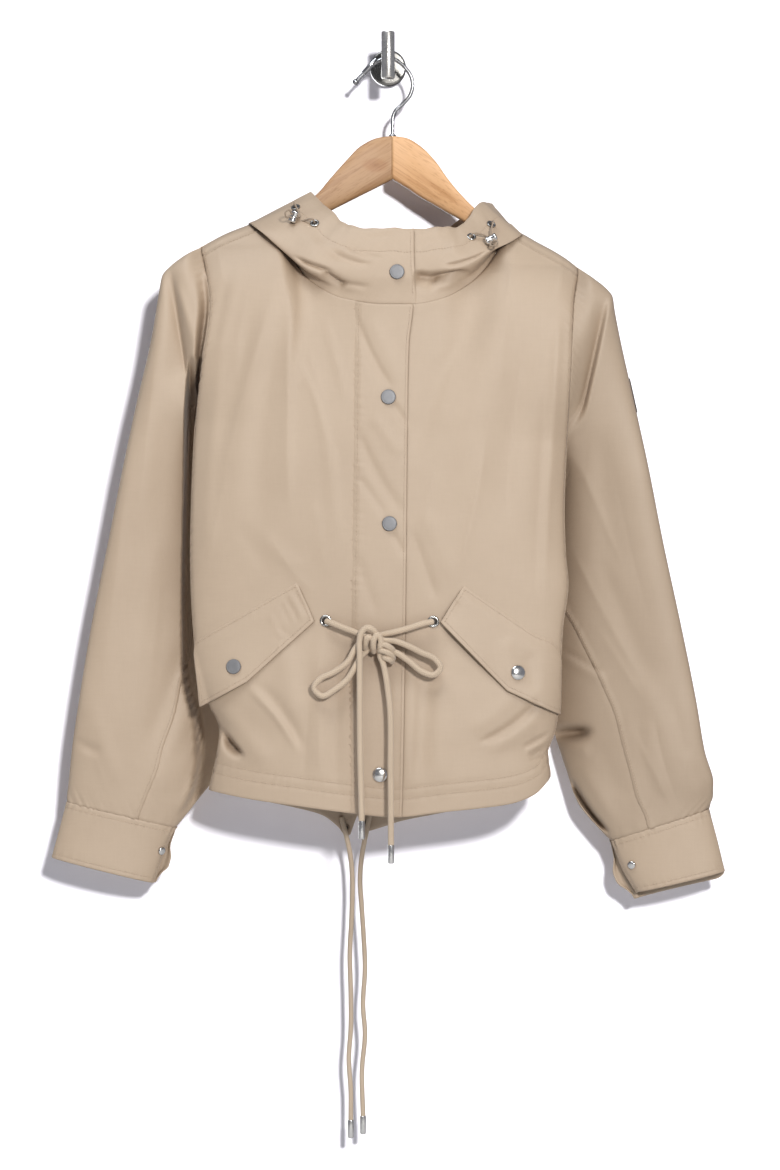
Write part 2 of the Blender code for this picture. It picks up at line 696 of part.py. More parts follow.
HOOD_ROWS = np.array([0, 0.05, 0.17, 0.32, 0.44, 0.525, 0.61, 0.73, 0.87, 1.0])
LAP_UNDER, LAP_OVER = 20.0, -7.5     # bearings where the two front ends stop

right_bearings = np.concatenate([np.linspace(LAP_OVER, 46, 7), np.linspace(55, 108, 7), np.linspace(121, 179.75, 5)])
hood_r = hood_grid(right_bearings, HOOD_ROWS)
lift = (LIFT + 1.0) * np.clip((48 - right_bearings) / 20, 0, 1)
hood_r[..., 1] -= lift[:, None]
cloth("hood_right", hood_r, (-1, -0.3, 0))
left_bearings = -np.concatenate([np.linspace(-LAP_UNDER, 30, 7), np.linspace(40, 110, 7), np.linspace(123, 179.75, 5)])
cloth("hood_left", hood_grid(left_bearings, HOOD_ROWS), (1, -0.3, 0))

# ------------------------------------------------------------ pocket flaps
# Corners as seen from the front: outer top, inner top, inner low, point, outer low.
FLAP_RIGHT = table("x z", (-194.0, -588.0), (-90.6, -529.0), (-73.6, -567.0),
                   (-140.4, -627.0), (-187.0, -652.0))
FLAP_LEFT = table("x z", (172.5, -598.0), (75.6, -532.0), (52.7, -568.0),
                  (118.6, -636.0), (171.5, -660.0))


def flap_grid(corners, cols, rows, rise=5.0):
    """A flap on the front: held along its slanting top, lifting toward its free edge."""
    p = np.stack([corners["x"], corners["z"]], -1)
    bend = 0.42
    a = cols[:, None]
    top = mix(p[0], p[1], a)
    low = np.where(a < bend, mix(p[4], p[3], np.minimum(a / bend, 1)),
                   mix(p[3], p[2], np.maximum((a - bend) / (1 - bend), 0)))
    xz = mix(top[:, None], low[:, None], rows[None, :, None])
    x, z = xz[..., 0], xz[..., 1]
    points = front_point(x, z) + front_normal(x, z) * (LIFT + 1.8)
    points[..., 1] -= rise * (rows ** 1.3)[None, :]
    return points


FLAP_COLS = np.concatenate([even(3) * 0.42, 0.42 + 0.58 * even(4)[1:]])
flap_r = flap_grid(FLAP_RIGHT, FLAP_COLS, even(4))
flap_l = flap_grid(FLAP_LEFT, FLAP_COLS, even(4))
cloth("flap_r", flap_r, (0, -1, 0), DOUBLE)
cloth("flap_l", flap_l, (0, -1, 0), DOUBLE)

# ------------------------------------------------------------ sleeve label
label = sleeve_grid("right", np.linspace(-4, -34, 4), np.linspace(0.20, 0.245, 4))
normal = np.cross(label[1:2, :1] - label[:1, :1], label[:1, 1:2] - label[:1, :1])[0, 0]
normal = normal / np.linalg.norm(normal)
if normal[0] < 0:
    normal = -normal
cloth("sleeve_label", label + normal * 1.6, normal, 1.0, kind="label")


# ------------------------------------------------------------ round hardware
def aim(obj, place, axis):
    turn = Vector(axis).to_track_quat("Z", "Y").to_matrix().to_4x4()
    obj.matrix_world = Matrix.Translation(Vector(place) * MM) @ turn


def turned(name, profile, place, axis, kind, steps=14):
    """A turned piece: rows of radius and height from the top to the foot."""
    mesh = bpy.data.meshes.new(name)
    verts = [(r * MM, 0, h * MM) for r, h in zip(profile["r"], profile["h"])]
    mesh.from_pydata(verts, [(i, i + 1) for i in range(len(verts) - 1)], [])
    obj = bpy.data.objects.new(name, mesh)
    bpy.context.scene.collection.objects.link(obj)
    screw = obj.modifiers.new("turn", "SCREW")
    screw.axis = "Z"
    screw.steps = screw.render_steps = steps
    screw.use_merge_vertices = True
    screw.merge_threshold = 0.00001
    screw.use_normal_calculate = False
    aim(obj, place, axis)
    return finish(obj, kind)


SNAP = table("r h", (0, 2.0), (3.6, 2.0), (4.4, 2.5), (6.6, 2.3), (7.4, 1.2), (7.0, 0.0), (0, 0.0))
STUD = table("r h", (0, 2.6), (3.0, 2.6), (4.0, 2.0), (4.2, 0.0), (0, 0.0))


def on_front(x, z, out):
    x, z = np.array(x), np.array(z)
    n = front_normal(x, z)
    return front_point(x, z) + n * out, n


for name, x, z in (("snap_chest", 0.4, -344.0), ("snap_waist", 1.5, -470.0),
                   ("snap_hem", -8.0, -719.5)):
    place, n = on_front(x, z, LIFT + 0.3)
    turned(name, SNAP, place, n, "metal")


def flap_spot(grid, i, q, r):
    """A place inside one cell of a flap and its outward direction."""
    j = 2
    p = mix(mix(grid[i, j], grid[i + 1, j], q), mix(grid[i, j + 1], grid[i + 1, j + 1], q), r)
    n = np.cross(grid[i + 1, j] - grid[i, j], grid[i, j + 1] - grid[i, j])
    n = n / np.linalg.norm(n)
    return p, -n if n[1] > 0 else n


for name, grid in (("snap_flap_r", flap_r), ("snap_flap_l", flap_l)):
    place, n = flap_spot(grid, 2, 0.1, 0.35)
    turned(name, SNAP, place + n * 0.9, n, "metal")

NECK_SNAP = dict(bearing=1.4, z=-217.5)
line = hood_grid(np.array([NECK_SNAP["bearing"]]), even(100))[0]
place = line[np.argmin(np.abs(line[:, 2] - NECK_SNAP["z"]))] + np.array([0, -LIFT - 2.1, 0])
turned("snap_neck", SNAP, place, (0, -1, 0.03), "metal")

for name, which, turn, way in (("snap_cuff_r", "left", 158.0, 1), ("snap_cuff_l", "right", 140.0, -1)):
    p = cuff_grid(which, np.array([turn - 3, turn, turn + 3]), np.array([0.48, 0.5, 0.52]))
    n = np.cross(p[2, 1] - p[0, 1], p[1, 2] - p[1, 0])
    n = n / np.linalg.norm(n)
    if n[1] > 0:
        n = -n
    turned(name, STUD, p[1, 1] + n * 1.0, n, "metal", 12)


def eyelet(name, place, axis, radius, wire):
    bpy.ops.mesh.primitive_torus_add(major_segments=12, minor_segments=5,
                                     major_radius=radius * MM, minor_radius=wire * MM)
    obj = bpy.context.object
    obj.name = name
    aim(obj, place, axis)
    return finish(obj, "metal")


for name, x, z in (("eyelet_waist_r", -62.0, -566.5), ("eyelet_waist_l", 45.0, -567.5)):
    place, n = on_front(x, z, 2.6)
    eyelet(name, place, n, 4.6, 1.4)


def on_hood(bearing, up, out):
    step = 1.5
    p = hood_grid(np.array([bearing - step, bearing, bearing + step]),
                  np.array([up - 0.02, up, up + 0.02]))
    n = np.cross(p[2, 1] - p[0, 1], p[1, 2] - p[1, 0])
    n = n / np.linalg.norm(n)
    centre = np.array([0, -60, p[1, 1, 2] - 30])
    if np.dot(n, p[1, 1] - centre) < 0:
        n = -n
    return p[1, 1] + n * out, n


HOOD_EYELETS = (("eyelet_hood_r1", 81.0, 0.93), ("eyelet_hood_r2", 60.0, 0.92),
                ("eyelet_hood_l1", -77.0, 0.88), ("eyelet_hood_l2", -56.0, 0.885))
hood_holes = {}
for name, bearing, up in HOOD_EYELETS:
    place, n = on_hood(bearing, up, 2.8)
    hood_holes[name] = (place, n)
    eyelet(name, place, n, 3.6, 1.1)

for name, x, z in (("eyelet_hem_r", -42.5, -778.0), ("eyelet_hem_l", -22.0, -773.5)):
    y = float(back_y(np.array(x), np.array(z)))
    eyelet(name, (x, y - CLOTH - 1.5, z), (0, -1, 0), 3.4, 1.0)


# ------------------------------------------------------------ cords
def smooth_path(points, spacing):
    """Even points along a smooth curve through the given ones."""
    p = np.asarray(points, float)
    steps = np.linalg.norm(np.diff(p, axis=0), axis=1)
    at = np.concatenate([[0], np.cumsum(steps)])
    tangent = np.gradient(p, at, axis=0)
    n = max(2, int(round(at[-1] / spacing)))
    out = []
    for d in np.linspace(0, at[-1], n + 1):
        i = min(np.searchsorted(at, d, side="right") - 1, len(p) - 2)
        h = at[i + 1] - at[i]
        q = (d - at[i]) / h
        out.append((1 + 2 * q) * (1 - q) ** 2 * p[i] + q * (1 - q) ** 2 * h * tangent[i]
                   + q * q * (3 - 2 * q) * p[i + 1] + q * q * (q - 1) * h * tangent[i + 1])
    return np.array(out)


def tube(name, points, diameter, kind="cord", spacing=None, sides=1):
    data = bpy.data.curves.new(name, "CURVE")
    data.dimensions = "3D"
    path = smooth_path(points, spacing or diameter * 3.0)
    line = data.splines.new("POLY")
    line.points.add(len(path) - 1)
    for spot, p in zip(line.points, path):
        spot.co = (*(p * MM), 1)
    data.bevel_depth = diameter / 2 * MM
    data.bevel_resolution = sides
    data.render_resolution_u = 0
    data.use_fill_caps = True
    obj = bpy.data.objects.new(name, data)
    bpy.context.scene.collection.objects.link(obj)
    return finish(obj, kind)


AGLET = table("r h", (0, 0.0), (2.5, 0.0), (3.0, -0.6), (3.0, -17.9), (2.4, -18.5), (0, -18.5))
WAIST_CORD, HEM_CORD, HOOD_CORD = 6.0, 5.0, 1.8

KNOT = dict(x=-14.0, y=-129.5, z=-587.0, rx=15.0, ry=6.5, rz=15.0)
bpy.ops.mesh.primitive_uv_sphere_add(segments=14, ring_count=8, radius=MM)
knot = bpy.context.object
knot.name = "waist_knot"
knot.matrix_world = (Matrix.Translation(Vector((KNOT["x"], KNOT["y"], KNOT["z"])) * MM)
                     @ Matrix.Diagonal((KNOT["rx"], KNOT["ry"], KNOT["rz"], 1)))
finish(knot, "cord")

WAIST_LEAD_R = table("x y z", (-61.0, -124.0, -567.0), (-55.0, -127.5, -569.0),
                     (-43.0, -128.0, -574.0), (-32.5, -128.5, -578.0))
WAIST_LEAD_L = table("x y z", (44.0, -124.5, -567.5), (36.0, -127.5, -569.0),
                     (20.0, -128.0, -574.0), (5.0, -129.0, -578.0))
WAIST_LOOP_R = table("x y z", (-31.0, -131.0, -592.0), (-40.0, -132.5, -608.0),
                     (-55.0, -132.0, -620.0), (-68.0, -131.0, -626.5), (-73.0, -131.0, -634.0),
                     (-66.0, -131.5, -640.0), (-52.0, -132.5, -632.5), (-41.0, -133.0, -624.0),
                     (-32.0, -133.0, -611.0))
WAIST_LOOP_L = table("x y z", (5.5, -131.5, -586.5), (19.0, -132.5, -591.0), (33.0, -132.0, -598.0),
                     (47.0, -131.5, -605.0), (52.0, -131.5, -613.0), (46.0, -131.5, -620.0),
                     (34.0, -132.0, -617.0), (20.0, -133.0, -606.0), (6.5, -133.5, -597.5))
WAIST_TAIL_R = table("x y z", (-24.5, -131.5, -605.5), (-28.0, -131.0, -640.0),
                     (-27.5, -130.5, -700.0), (-26.0, -130.0, -764.0))
WAIST_TAIL_L = table("x y z", (-5.5, -131.5, -607.0), (0.5, -131.0, -640.0),
                     (2.5, -130.5, -720.0), (3.0, -130.0, -788.0))
HEM_CORD_R = table("x y z", (-41.5, -30.5, -791.0), (-38.5, -32.0, -806.0), (-36.5, -32.5, -829.0),
                   (-37.0, -32.5, -866.0), (-39.0, -32.0, -907.0), (-38.0, -32.0, -947.0),
                   (-38.0, -32.0, -983.0), (-40.0, -32.0, -1013.0), (-38.0, -32.0, -1047.0),
                   (-38.0, -32.0, -1076.0))
HEM_CORD_L = table("x y z", (-23.0, -30.5, -787.0), (-26.5, -32.0, -806.0), (-28.5, -32.5, -830.0),
                   (-27.0, -32.5, -857.0), (-25.0, -32.0, -887.0), (-23.5, -32.0, -921.0),
                   (-25.5, -32.0, -960.0), (-23.5, -32.0, -988.0), (-26.5, -32.0, -1024.0),
                   (-25.5, -32.0, -1072.0))


def rows_of(t):
    return np.stack(list(t.values()), -1)


for name, route, thick in (
        ("waist_lead_r", WAIST_LEAD_R, WAIST_CORD), ("waist_lead_l", WAIST_LEAD_L, WAIST_CORD),
        ("waist_loop_r", WAIST_LOOP_R, WAIST_CORD), ("waist_loop_l", WAIST_LOOP_L, WAIST_CORD),
        ("waist_tail_r", WAIST_TAIL_R, WAIST_CORD), ("waist_tail_l", WAIST_TAIL_L, WAIST_CORD),
        ("hem_cord_r", HEM_CORD_R, HEM_CORD), ("hem_cord_l", HEM_CORD_L, HEM_CORD)):
    tube(name, rows_of(route), thick)
for name, route in (("aglet_waist_r", WAIST_TAIL_R), ("aglet_waist_l", WAIST_TAIL_L),
                    ("aglet_hem_r", HEM_CORD_R), ("aglet_hem_l", HEM_CORD_L)):
    x, y, z = rows_of(route)[-1]
    turned(name, AGLET, (x, y, z - SEAM), (0, 0, 1), "metal", 12)

# Hood elastic: out of one eyelet, through the barrel lock, into the other.
LOCK = table("r h", (0, 6.0), (3.2, 6.0), (4.2, 4.6), (3.4, 1.0), (3.4, -1.0),
             (4.2, -4.6), (3.2, -6.0), (0, -6.0))
HOOD_LOCKS = table("bearing up    ax   az",
                   (69.0, 0.865, 0.4, 1.0),
                   (-66.0, 0.68, 1.0, 0.5))
for row, label, first, second in ((0, "r", "eyelet_hood_r1", "eyelet_hood_r2"),
                                  (1, "l", "eyelet_hood_l1", "eyelet_hood_l2")):
    bearing, up, ax, az = (HOOD_LOCKS[k][row] for k in HOOD_LOCKS)
    axis = np.array([ax, 0, az]) / math.hypot(ax, az)
    middle = on_hood(bearing, up, 8.0)[0]
    turned(f"hood_lock_{label}", LOCK, middle, axis, "metal", 12)
    toward = (hood_holes[first][0] + hood_holes[second][0]) / 2 - middle
    side = toward - axis * np.dot(toward, axis)
    side = side / np.linalg.norm(side)
    for part, hole, end in (("upper", first, 1), ("lower", second, -1)):
        place, n = hood_holes[hole]
        tip = middle + side * 5.0 + axis * end * 1.8
        tube(f"hood_cord_{label}_{part}",
             [place + n * 3.4, mix(place, tip, 0.5) + n * 4.0, tip + side * 2.5, tip],
             HOOD_CORD, spacing=4.0, sides=1)

# ------------------------------------------------------------ hanger
# One row per section out along each arm: top, underside, depth and thickness.
ARM_RIGHT = table(
    "x       top     low     y    thick",
    (4.2, -73.5, -118.0, -34, 13),
    (-10.0, -75.5, -125.5, -34.5, 13),
    (-27.5, -84.0, -134.5, -36.5, 13),
    (-43.8, -100.6, -143.0, -39, 13),
    (-58.0, -117.0, -150.5, -42, 13),
    (-71.2, -133.0, -157.5, -45, 13),
    (-90.0, -148.5, -168.0, -48.5, 12),
    (-108.6, -160.0, -178.0, -51.5, 11),
    (-144.8, -173.5, -192.0, -60, 11),
    (-178.0, -192.5, -209.0, -66.5, 10),
    (-200.0, -208.0, -220.0, -70.5, 9),
    (-207.0, -213.0, -218.0, -71.5, 6))
ARM_LEFT = table(
    "x       top     low     y    thick",
    (4.8, -73.5, -118.0, -34, 13),
    (18.0, -75.5, -126.0, -34.5, 13),
    (32.6, -84.0, -136.0, -36.5, 13),
    (48.8, -100.6, -145.5, -39, 13),
    (60.0, -117.0, -152.5, -42, 13),
    (73.2, -133.5, -160.0, -45, 13),
    (92.0, -152.5, -173.0, -48.5, 12),
    (121.0, -173.5, -192.0, -53, 11),
    (150.8, -190.0, -208.0, -61, 11),
    (178.9, -209.0, -225.0, -67, 9),
    (197.0, -226.0, -238.0, -71, 8),
    (204.0, -231.5, -236.5, -72, 6))


def arm(name, rows):
    """Loft of rounded sections from the middle of the hanger to the tip."""
    turn = np.radians(np.arange(0, 360, 30) + 15)
    c, s = bent(np.cos(turn), 0.45), bent(np.sin(turn), 0.6)
    mesh = bpy.data.meshes.new(name)
    verts, faces = [], []
    for x, top, low, y, thick in zip(*rows.values()):
        for a, b in zip(c, s):
            verts.append((x * MM, (y + thick / 2 * a) * MM, ((top + low) / 2 + (top - low) / 2 * b) * MM))
    n, rings = len(turn), len(rows["x"])
    for i in range(rings - 1):
        for k in range(n):
            faces.append((i * n + k, i * n + (k + 1) % n, (i + 1) * n + (k + 1) % n, (i + 1) * n + k))
    faces.append(tuple(range(n))[::-1])
    faces.append(tuple(range((rings - 1) * n, rings * n)))
    mesh.from_pydata(verts, [], faces)
    shape = bmesh.new()
    shape.from_mesh(mesh)
    bmesh.ops.recalc_face_normals(shape, faces=shape.faces)
    shape.to_mesh(mesh)
    shape.free()
    obj = bpy.data.objects.new(name, mesh)
    bpy.context.scene.collection.objects.link(obj)
    return finish(obj, "wood")


arm("hanger_arm_r", ARM_RIGHT)
arm("hanger_arm_l", ARM_LEFT)

HOOK_Y = -34.0
HOOK_WIRE = 4.0
HANGER_HOOK = table(
    "x      z",
    (-33.0, -18.5), (-27.5, -12.4), (-21.0, -5.8), (-14.0, 0.4), (-6.7, 4.4), (1.5, 6.0),
    (10.2, 2.6), (18.6, -5.4), (23.6, -13.4), (25.0, -21.8), (22.4, -32.0), (14.2, -41.6),
    (7.6, -48.0), (5.0, -54.5), (4.6, -63.0), (4.5, -72.9))
tube("hanger_hook", np.stack([HANGER_HOOK["x"], np.full(16, HOOK_Y), HANGER_HOOK["z"]], -1),
     HOOK_WIRE, "steel", spacing=6.0, sides=2)

# ------------------------------------------------------------ wall hook
PLATE = dict(r=18.5, thick=8.0)
STEM = dict(r=4.8, z=-1.6, end=-54.0)
PEG = dict(r=6.8, y=-56.0, low=-18.0, high=29.5)


def cylinder(name, r, depth, place, axis, segments=32):
    bpy.ops.mesh.primitive_cylinder_add(vertices=segments, radius=r * MM, depth=depth * MM)
    obj = bpy.context.object
    obj.name = name
    aim(obj, place, axis)
    return obj


plate = cylinder("wall_hook", PLATE["r"], PLATE["thick"], (0, -PLATE["thick"] / 2, 0), (0, 1, 0))
bpy.context.view_layer.update()
tools = bpy.data.collections.new("cutters")
bpy.context.scene.collection.children.link(tools)
stem_from = -PLATE["thick"] + 2
stem = cylinder("stem_tool", STEM["r"], stem_from - STEM["end"],
                (0, (stem_from + STEM["end"]) / 2, STEM["z"]), (0, 1, 0), 20)
peg = cylinder("peg_tool", PEG["r"], PEG["high"] - PEG["low"],
               (0, PEG["y"], (PEG["high"] + PEG["low"]) / 2), (0, 0, 1), 24)
for tool in (stem, peg):
    for c in list(tool.users_collection):
        c.objects.unlink(tool)
    tools.objects.link(tool)
    tool.hide_render = True
    tool.display_type = "WIRE"
    join = plate.modifiers.new("join_" + tool.name, "BOOLEAN")
    join.operation = "UNION"
    join.solver = "EXACT"
    join.object = tool
finish(plate, "steel")
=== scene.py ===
"""Cropped hooded jacket on a wooden hanger and a wall hook: the visual model.

Lengths are in millimetres in the tables and in metres in the meshes.
X runs to the viewer's right, Y into the wall and Z up; the origin is the
centre of the wall plate's back face.  Right and left are the wearer's.
"""
import math

import bpy
import numpy as np
from mathutils import Matrix, Vector


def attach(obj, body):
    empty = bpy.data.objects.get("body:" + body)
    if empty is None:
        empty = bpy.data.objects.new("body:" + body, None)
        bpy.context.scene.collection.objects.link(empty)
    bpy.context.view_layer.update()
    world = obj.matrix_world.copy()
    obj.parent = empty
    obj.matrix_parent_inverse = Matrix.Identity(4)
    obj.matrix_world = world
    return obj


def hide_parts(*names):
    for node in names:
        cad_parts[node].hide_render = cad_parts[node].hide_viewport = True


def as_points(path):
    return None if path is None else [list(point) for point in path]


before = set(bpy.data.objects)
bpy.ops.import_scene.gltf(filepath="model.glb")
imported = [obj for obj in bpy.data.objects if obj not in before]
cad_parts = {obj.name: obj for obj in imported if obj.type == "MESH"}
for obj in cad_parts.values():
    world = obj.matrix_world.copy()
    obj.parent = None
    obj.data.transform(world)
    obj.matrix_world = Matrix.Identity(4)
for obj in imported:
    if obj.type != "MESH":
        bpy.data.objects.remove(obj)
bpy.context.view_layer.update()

MM = 0.001
CLOTH = 0.9          # wall of the shell cloth as shown
DOUBLE = 1.5         # flaps, cuffs and placket, sewn double
LIFT = 1.9           # a piece that lies on a panel starts this far out

# ------------------------------------------------------------ camera
camera = bpy.data.cameras.new("camera")
camera.sensor_width = 36.0
camera.sensor_fit = "AUTO"
camera.lens = 107.69
camera.clip_end = 50.0
eye = bpy.data.objects.new("camera", camera)
bpy.context.scene.collection.objects.link(eye)
eye.matrix_world = Matrix.Translation((0.002, -3.6, -0.531)) @ Matrix.Rotation(math.pi / 2, 4, "X")
bpy.context.scene.camera = eye


# ------------------------------------------------------------ curve reading
def table(columns, *rows):
    names = columns.split()
    return {name: np.array([row[i] for row in rows], float)
            for i, name in enumerate(names)}


def along(xs, ys):
    """A smooth curve through a table's points that never overshoots them."""
    xs, ys = np.asarray(xs, float), np.asarray(ys, float)
    order = np.argsort(xs)
    xs, ys = xs[order], ys[order]
    h = np.diff(xs)
    d = np.diff(ys, axis=0) / h.reshape((-1,) + (1,) * (ys.ndim - 1))
    m = np.zeros_like(ys)
    hh = h.reshape((-1,) + (1,) * (ys.ndim - 1))
    w1, w2 = 2 * hh[1:] + hh[:-1], hh[1:] + 2 * hh[:-1]
    same = d[:-1] * d[1:] > 0
    safe0, safe1 = np.where(same, d[:-1], 1.0), np.where(same, d[1:], 1.0)
    m[1:-1] = np.where(same, (w1 + w2) / (w1 / safe0 + w2 / safe1), 0.0)
    m[0], m[-1] = d[0], d[-1]

    def read(at):
        at = np.clip(np.asarray(at, float), xs[0], xs[-1])
        i = np.clip(np.searchsorted(xs, at, side="right") - 1, 0, len(xs) - 2)
        shape = at.shape + (1,) * (ys.ndim - 1)
        step = h[i].reshape(shape)
        q = ((at - xs[i]) / h[i]).reshape(shape)
        return ((1 + 2 * q) * (1 - q) ** 2 * ys[i] + q * (1 - q) ** 2 * step * m[i]
                + q * q * (3 - 2 * q) * ys[i + 1] + q * q * (q - 1) * step * m[i + 1])
    return read


def mix(a, b, q):
    return a + (b - a) * q


# ------------------------------------------------------------ body sections
# One row per height: the two side edges as seen from the front, the depth of
# the side seam and the depths reached at the centre front and centre back.
BODY = table(
    "z     left    right   side   front  back",
    (-152, -188.8, 191.8, -62, -92, -34),
    (-190, -188.8, 191.8, -67, -100, -31),
    (-211, -184.5, 191.8, -70, -104, -29),
    (-250, -179.0, 186.5, -75, -110, -27),
    (-315, -187.5, 183.5, -81, -116, -25),
    (-375, -194.5, 180.7, -86, -119, -24),
    (-460, -198.0, 177.2, -90, -120, -24),
    (-500, -198.6, 178.5, -91, -119, -25),
    (-530, -198.0, 181.0, -92, -118, -26),
    (-575, -195.5, 175.5, -93, -117, -27),
    (-620, -191.0, 173.2, -92, -119, -28),
    (-645, -183.0, 172.5, -90, -121, -29),
    (-678, -169.5, 168.0, -88, -122, -30),
    (-699, -172.0, 161.0, -87, -122, -31),
    (-721, -177.0, 163.5, -86, -122, -31),
    (-745, -181.0, 161.0, -86, -121, -31),
    (-800, -182.0, 156.0, -86, -119, -31),
)
left_x = along(BODY["z"], BODY["left"])
right_x = along(BODY["z"], BODY["right"])
side_y = along(BODY["z"], BODY["side"])
front_reach = along(BODY["z"], BODY["front"])
back_reach = along(BODY["z"], BODY["back"])

# Armholes: top (shoulder point), bottom (underarm) and how far each opens.
ARMHOLE = {"left": dict(top=-189.7, bottom=-372.0, open_front=25, open_back=22),
           "right": dict(top=-210.9, bottom=-388.0, open_front=25, open_back=22)}


def armhole_open(z, which, face):
    hole = ARMHOLE[which]
    middle = (hole["top"] + hole["bottom"]) / 2
    half = (hole["top"] - hole["bottom"]) / 2
    lean = np.clip((z - middle) / half, -1, 1)
    round_end = 1 - lean * lean
    return hole[face] * np.where(lean > 0, np.sqrt(round_end), round_end ** 1.5)


# Top line of the panels, left shoulder to right shoulder: the shoulder rests
# on the hanger, the neckline drops between.
FRONT_TOP = table(
    "x       y     z",
    (-188.8, -66, -189.7),
    (-181.0, -64, -185.0),
    (-164.9, -60, -176.0),
    (-144.8, -56, -167.5),
    (-125.0, -52, -160.0),
    (-108.6, -51, -154.5),
    (-107.0, -64, -163.0),
    (-101.0, -73, -184.0),
    (-89.4, -86, -212.5),
    (-75.1, -95, -228.5),
    (-45.9, -106, -244.5),
    (-5.0, -112, -251.0),
    (24.9, -112, -251.0),
    (55.9, -106, -244.5),
    (80.1, -95, -230.5),
    (103.6, -83, -205.0),
    (115.5, -73, -184.0),
    (119.6, -65, -175.0),
    (121.0, -52, -168.0),
    (136.7, -56, -175.6),
    (150.8, -58, -183.9),
    (165.9, -60, -192.2),
    (178.9, -63, -200.5),
    (191.8, -66, -210.9),
)
BACK_TOP = table(
    "x       y     z",
    (-188.8, -66, -189.7),
    (-181.0, -64, -185.0),
    (-164.9, -60, -176.0),
    (-144.8, -56, -167.5),
    (-125.0, -52, -160.0),
    (-108.6, -51, -154.5),
    (-98.0, -38, -160.0),
    (-86.0, -31, -165.0),
    (-60.0, -28, -172.0),
    (5.0, -27, -178.0),
    (70.0, -28, -177.0),
    (98.0, -31, -173.0),
    (111.0, -39, -170.0),
    (121.0, -52, -168.0),
    (136.7, -56, -175.6),
    (150.8, -58, -183.9),
    (165.9, -60, -192.2),
    (178.9, -63, -200.5),
    (191.8, -66, -210.9),
)
# Hems, left side seam to right side seam.
FRONT_HEM = table(
    "x      z",
    (-183.0, -735.5), (-138.0, -744.0), (-87.7, -751.0), (-37.8, -757.5),
    (11.9, -761.5), (51.7, -757.0), (91.6, -753.0), (121.8, -749.0),
    (147.0, -740.0), (163.4, -724.0))
BACK_HEM = table(
    "x      z",
    (-183.0, -735.5), (-140.0, -747.0), (-95.0, -757.0), (-67.0, -765.0),
    (-51.0, -777.0), (-42.5, -786.5), (-37.5, -784.0), (-32.0, -765.0),
    (-27.0, -776.0), (-22.0, -781.5), (-8.0, -778.0), (12.0, -771.5),
    (53.0, -763.0), (110.0, -750.0), (163.4, -724.0))


def share(x, z):
    """Place across the body, 0 at the left edge and 1 at the right edge."""
    return (x - left_x(z)) / (right_x(z) - left_x(z))


def spread(t, z):
    return mix(left_x(z), right_x(z), t)


front_top_t = share(FRONT_TOP["x"], FRONT_TOP["z"])
back_top_t = share(BACK_TOP["x"], BACK_TOP["z"])
front_top_z = along(front_top_t, FRONT_TOP["z"])
front_top_y = along(front_top_t, FRONT_TOP["y"])
back_top_z = along(back_top_t, BACK_TOP["z"])
back_top_y = along(back_top_t, BACK_TOP["y"])
front_hem_z = along(share(FRONT_HEM["x"], FRONT_HEM["z"]), FRONT_HEM["z"])
back_hem_z = along(share(BACK_HEM["x"], BACK_HEM["z"]), BACK_HEM["z"])

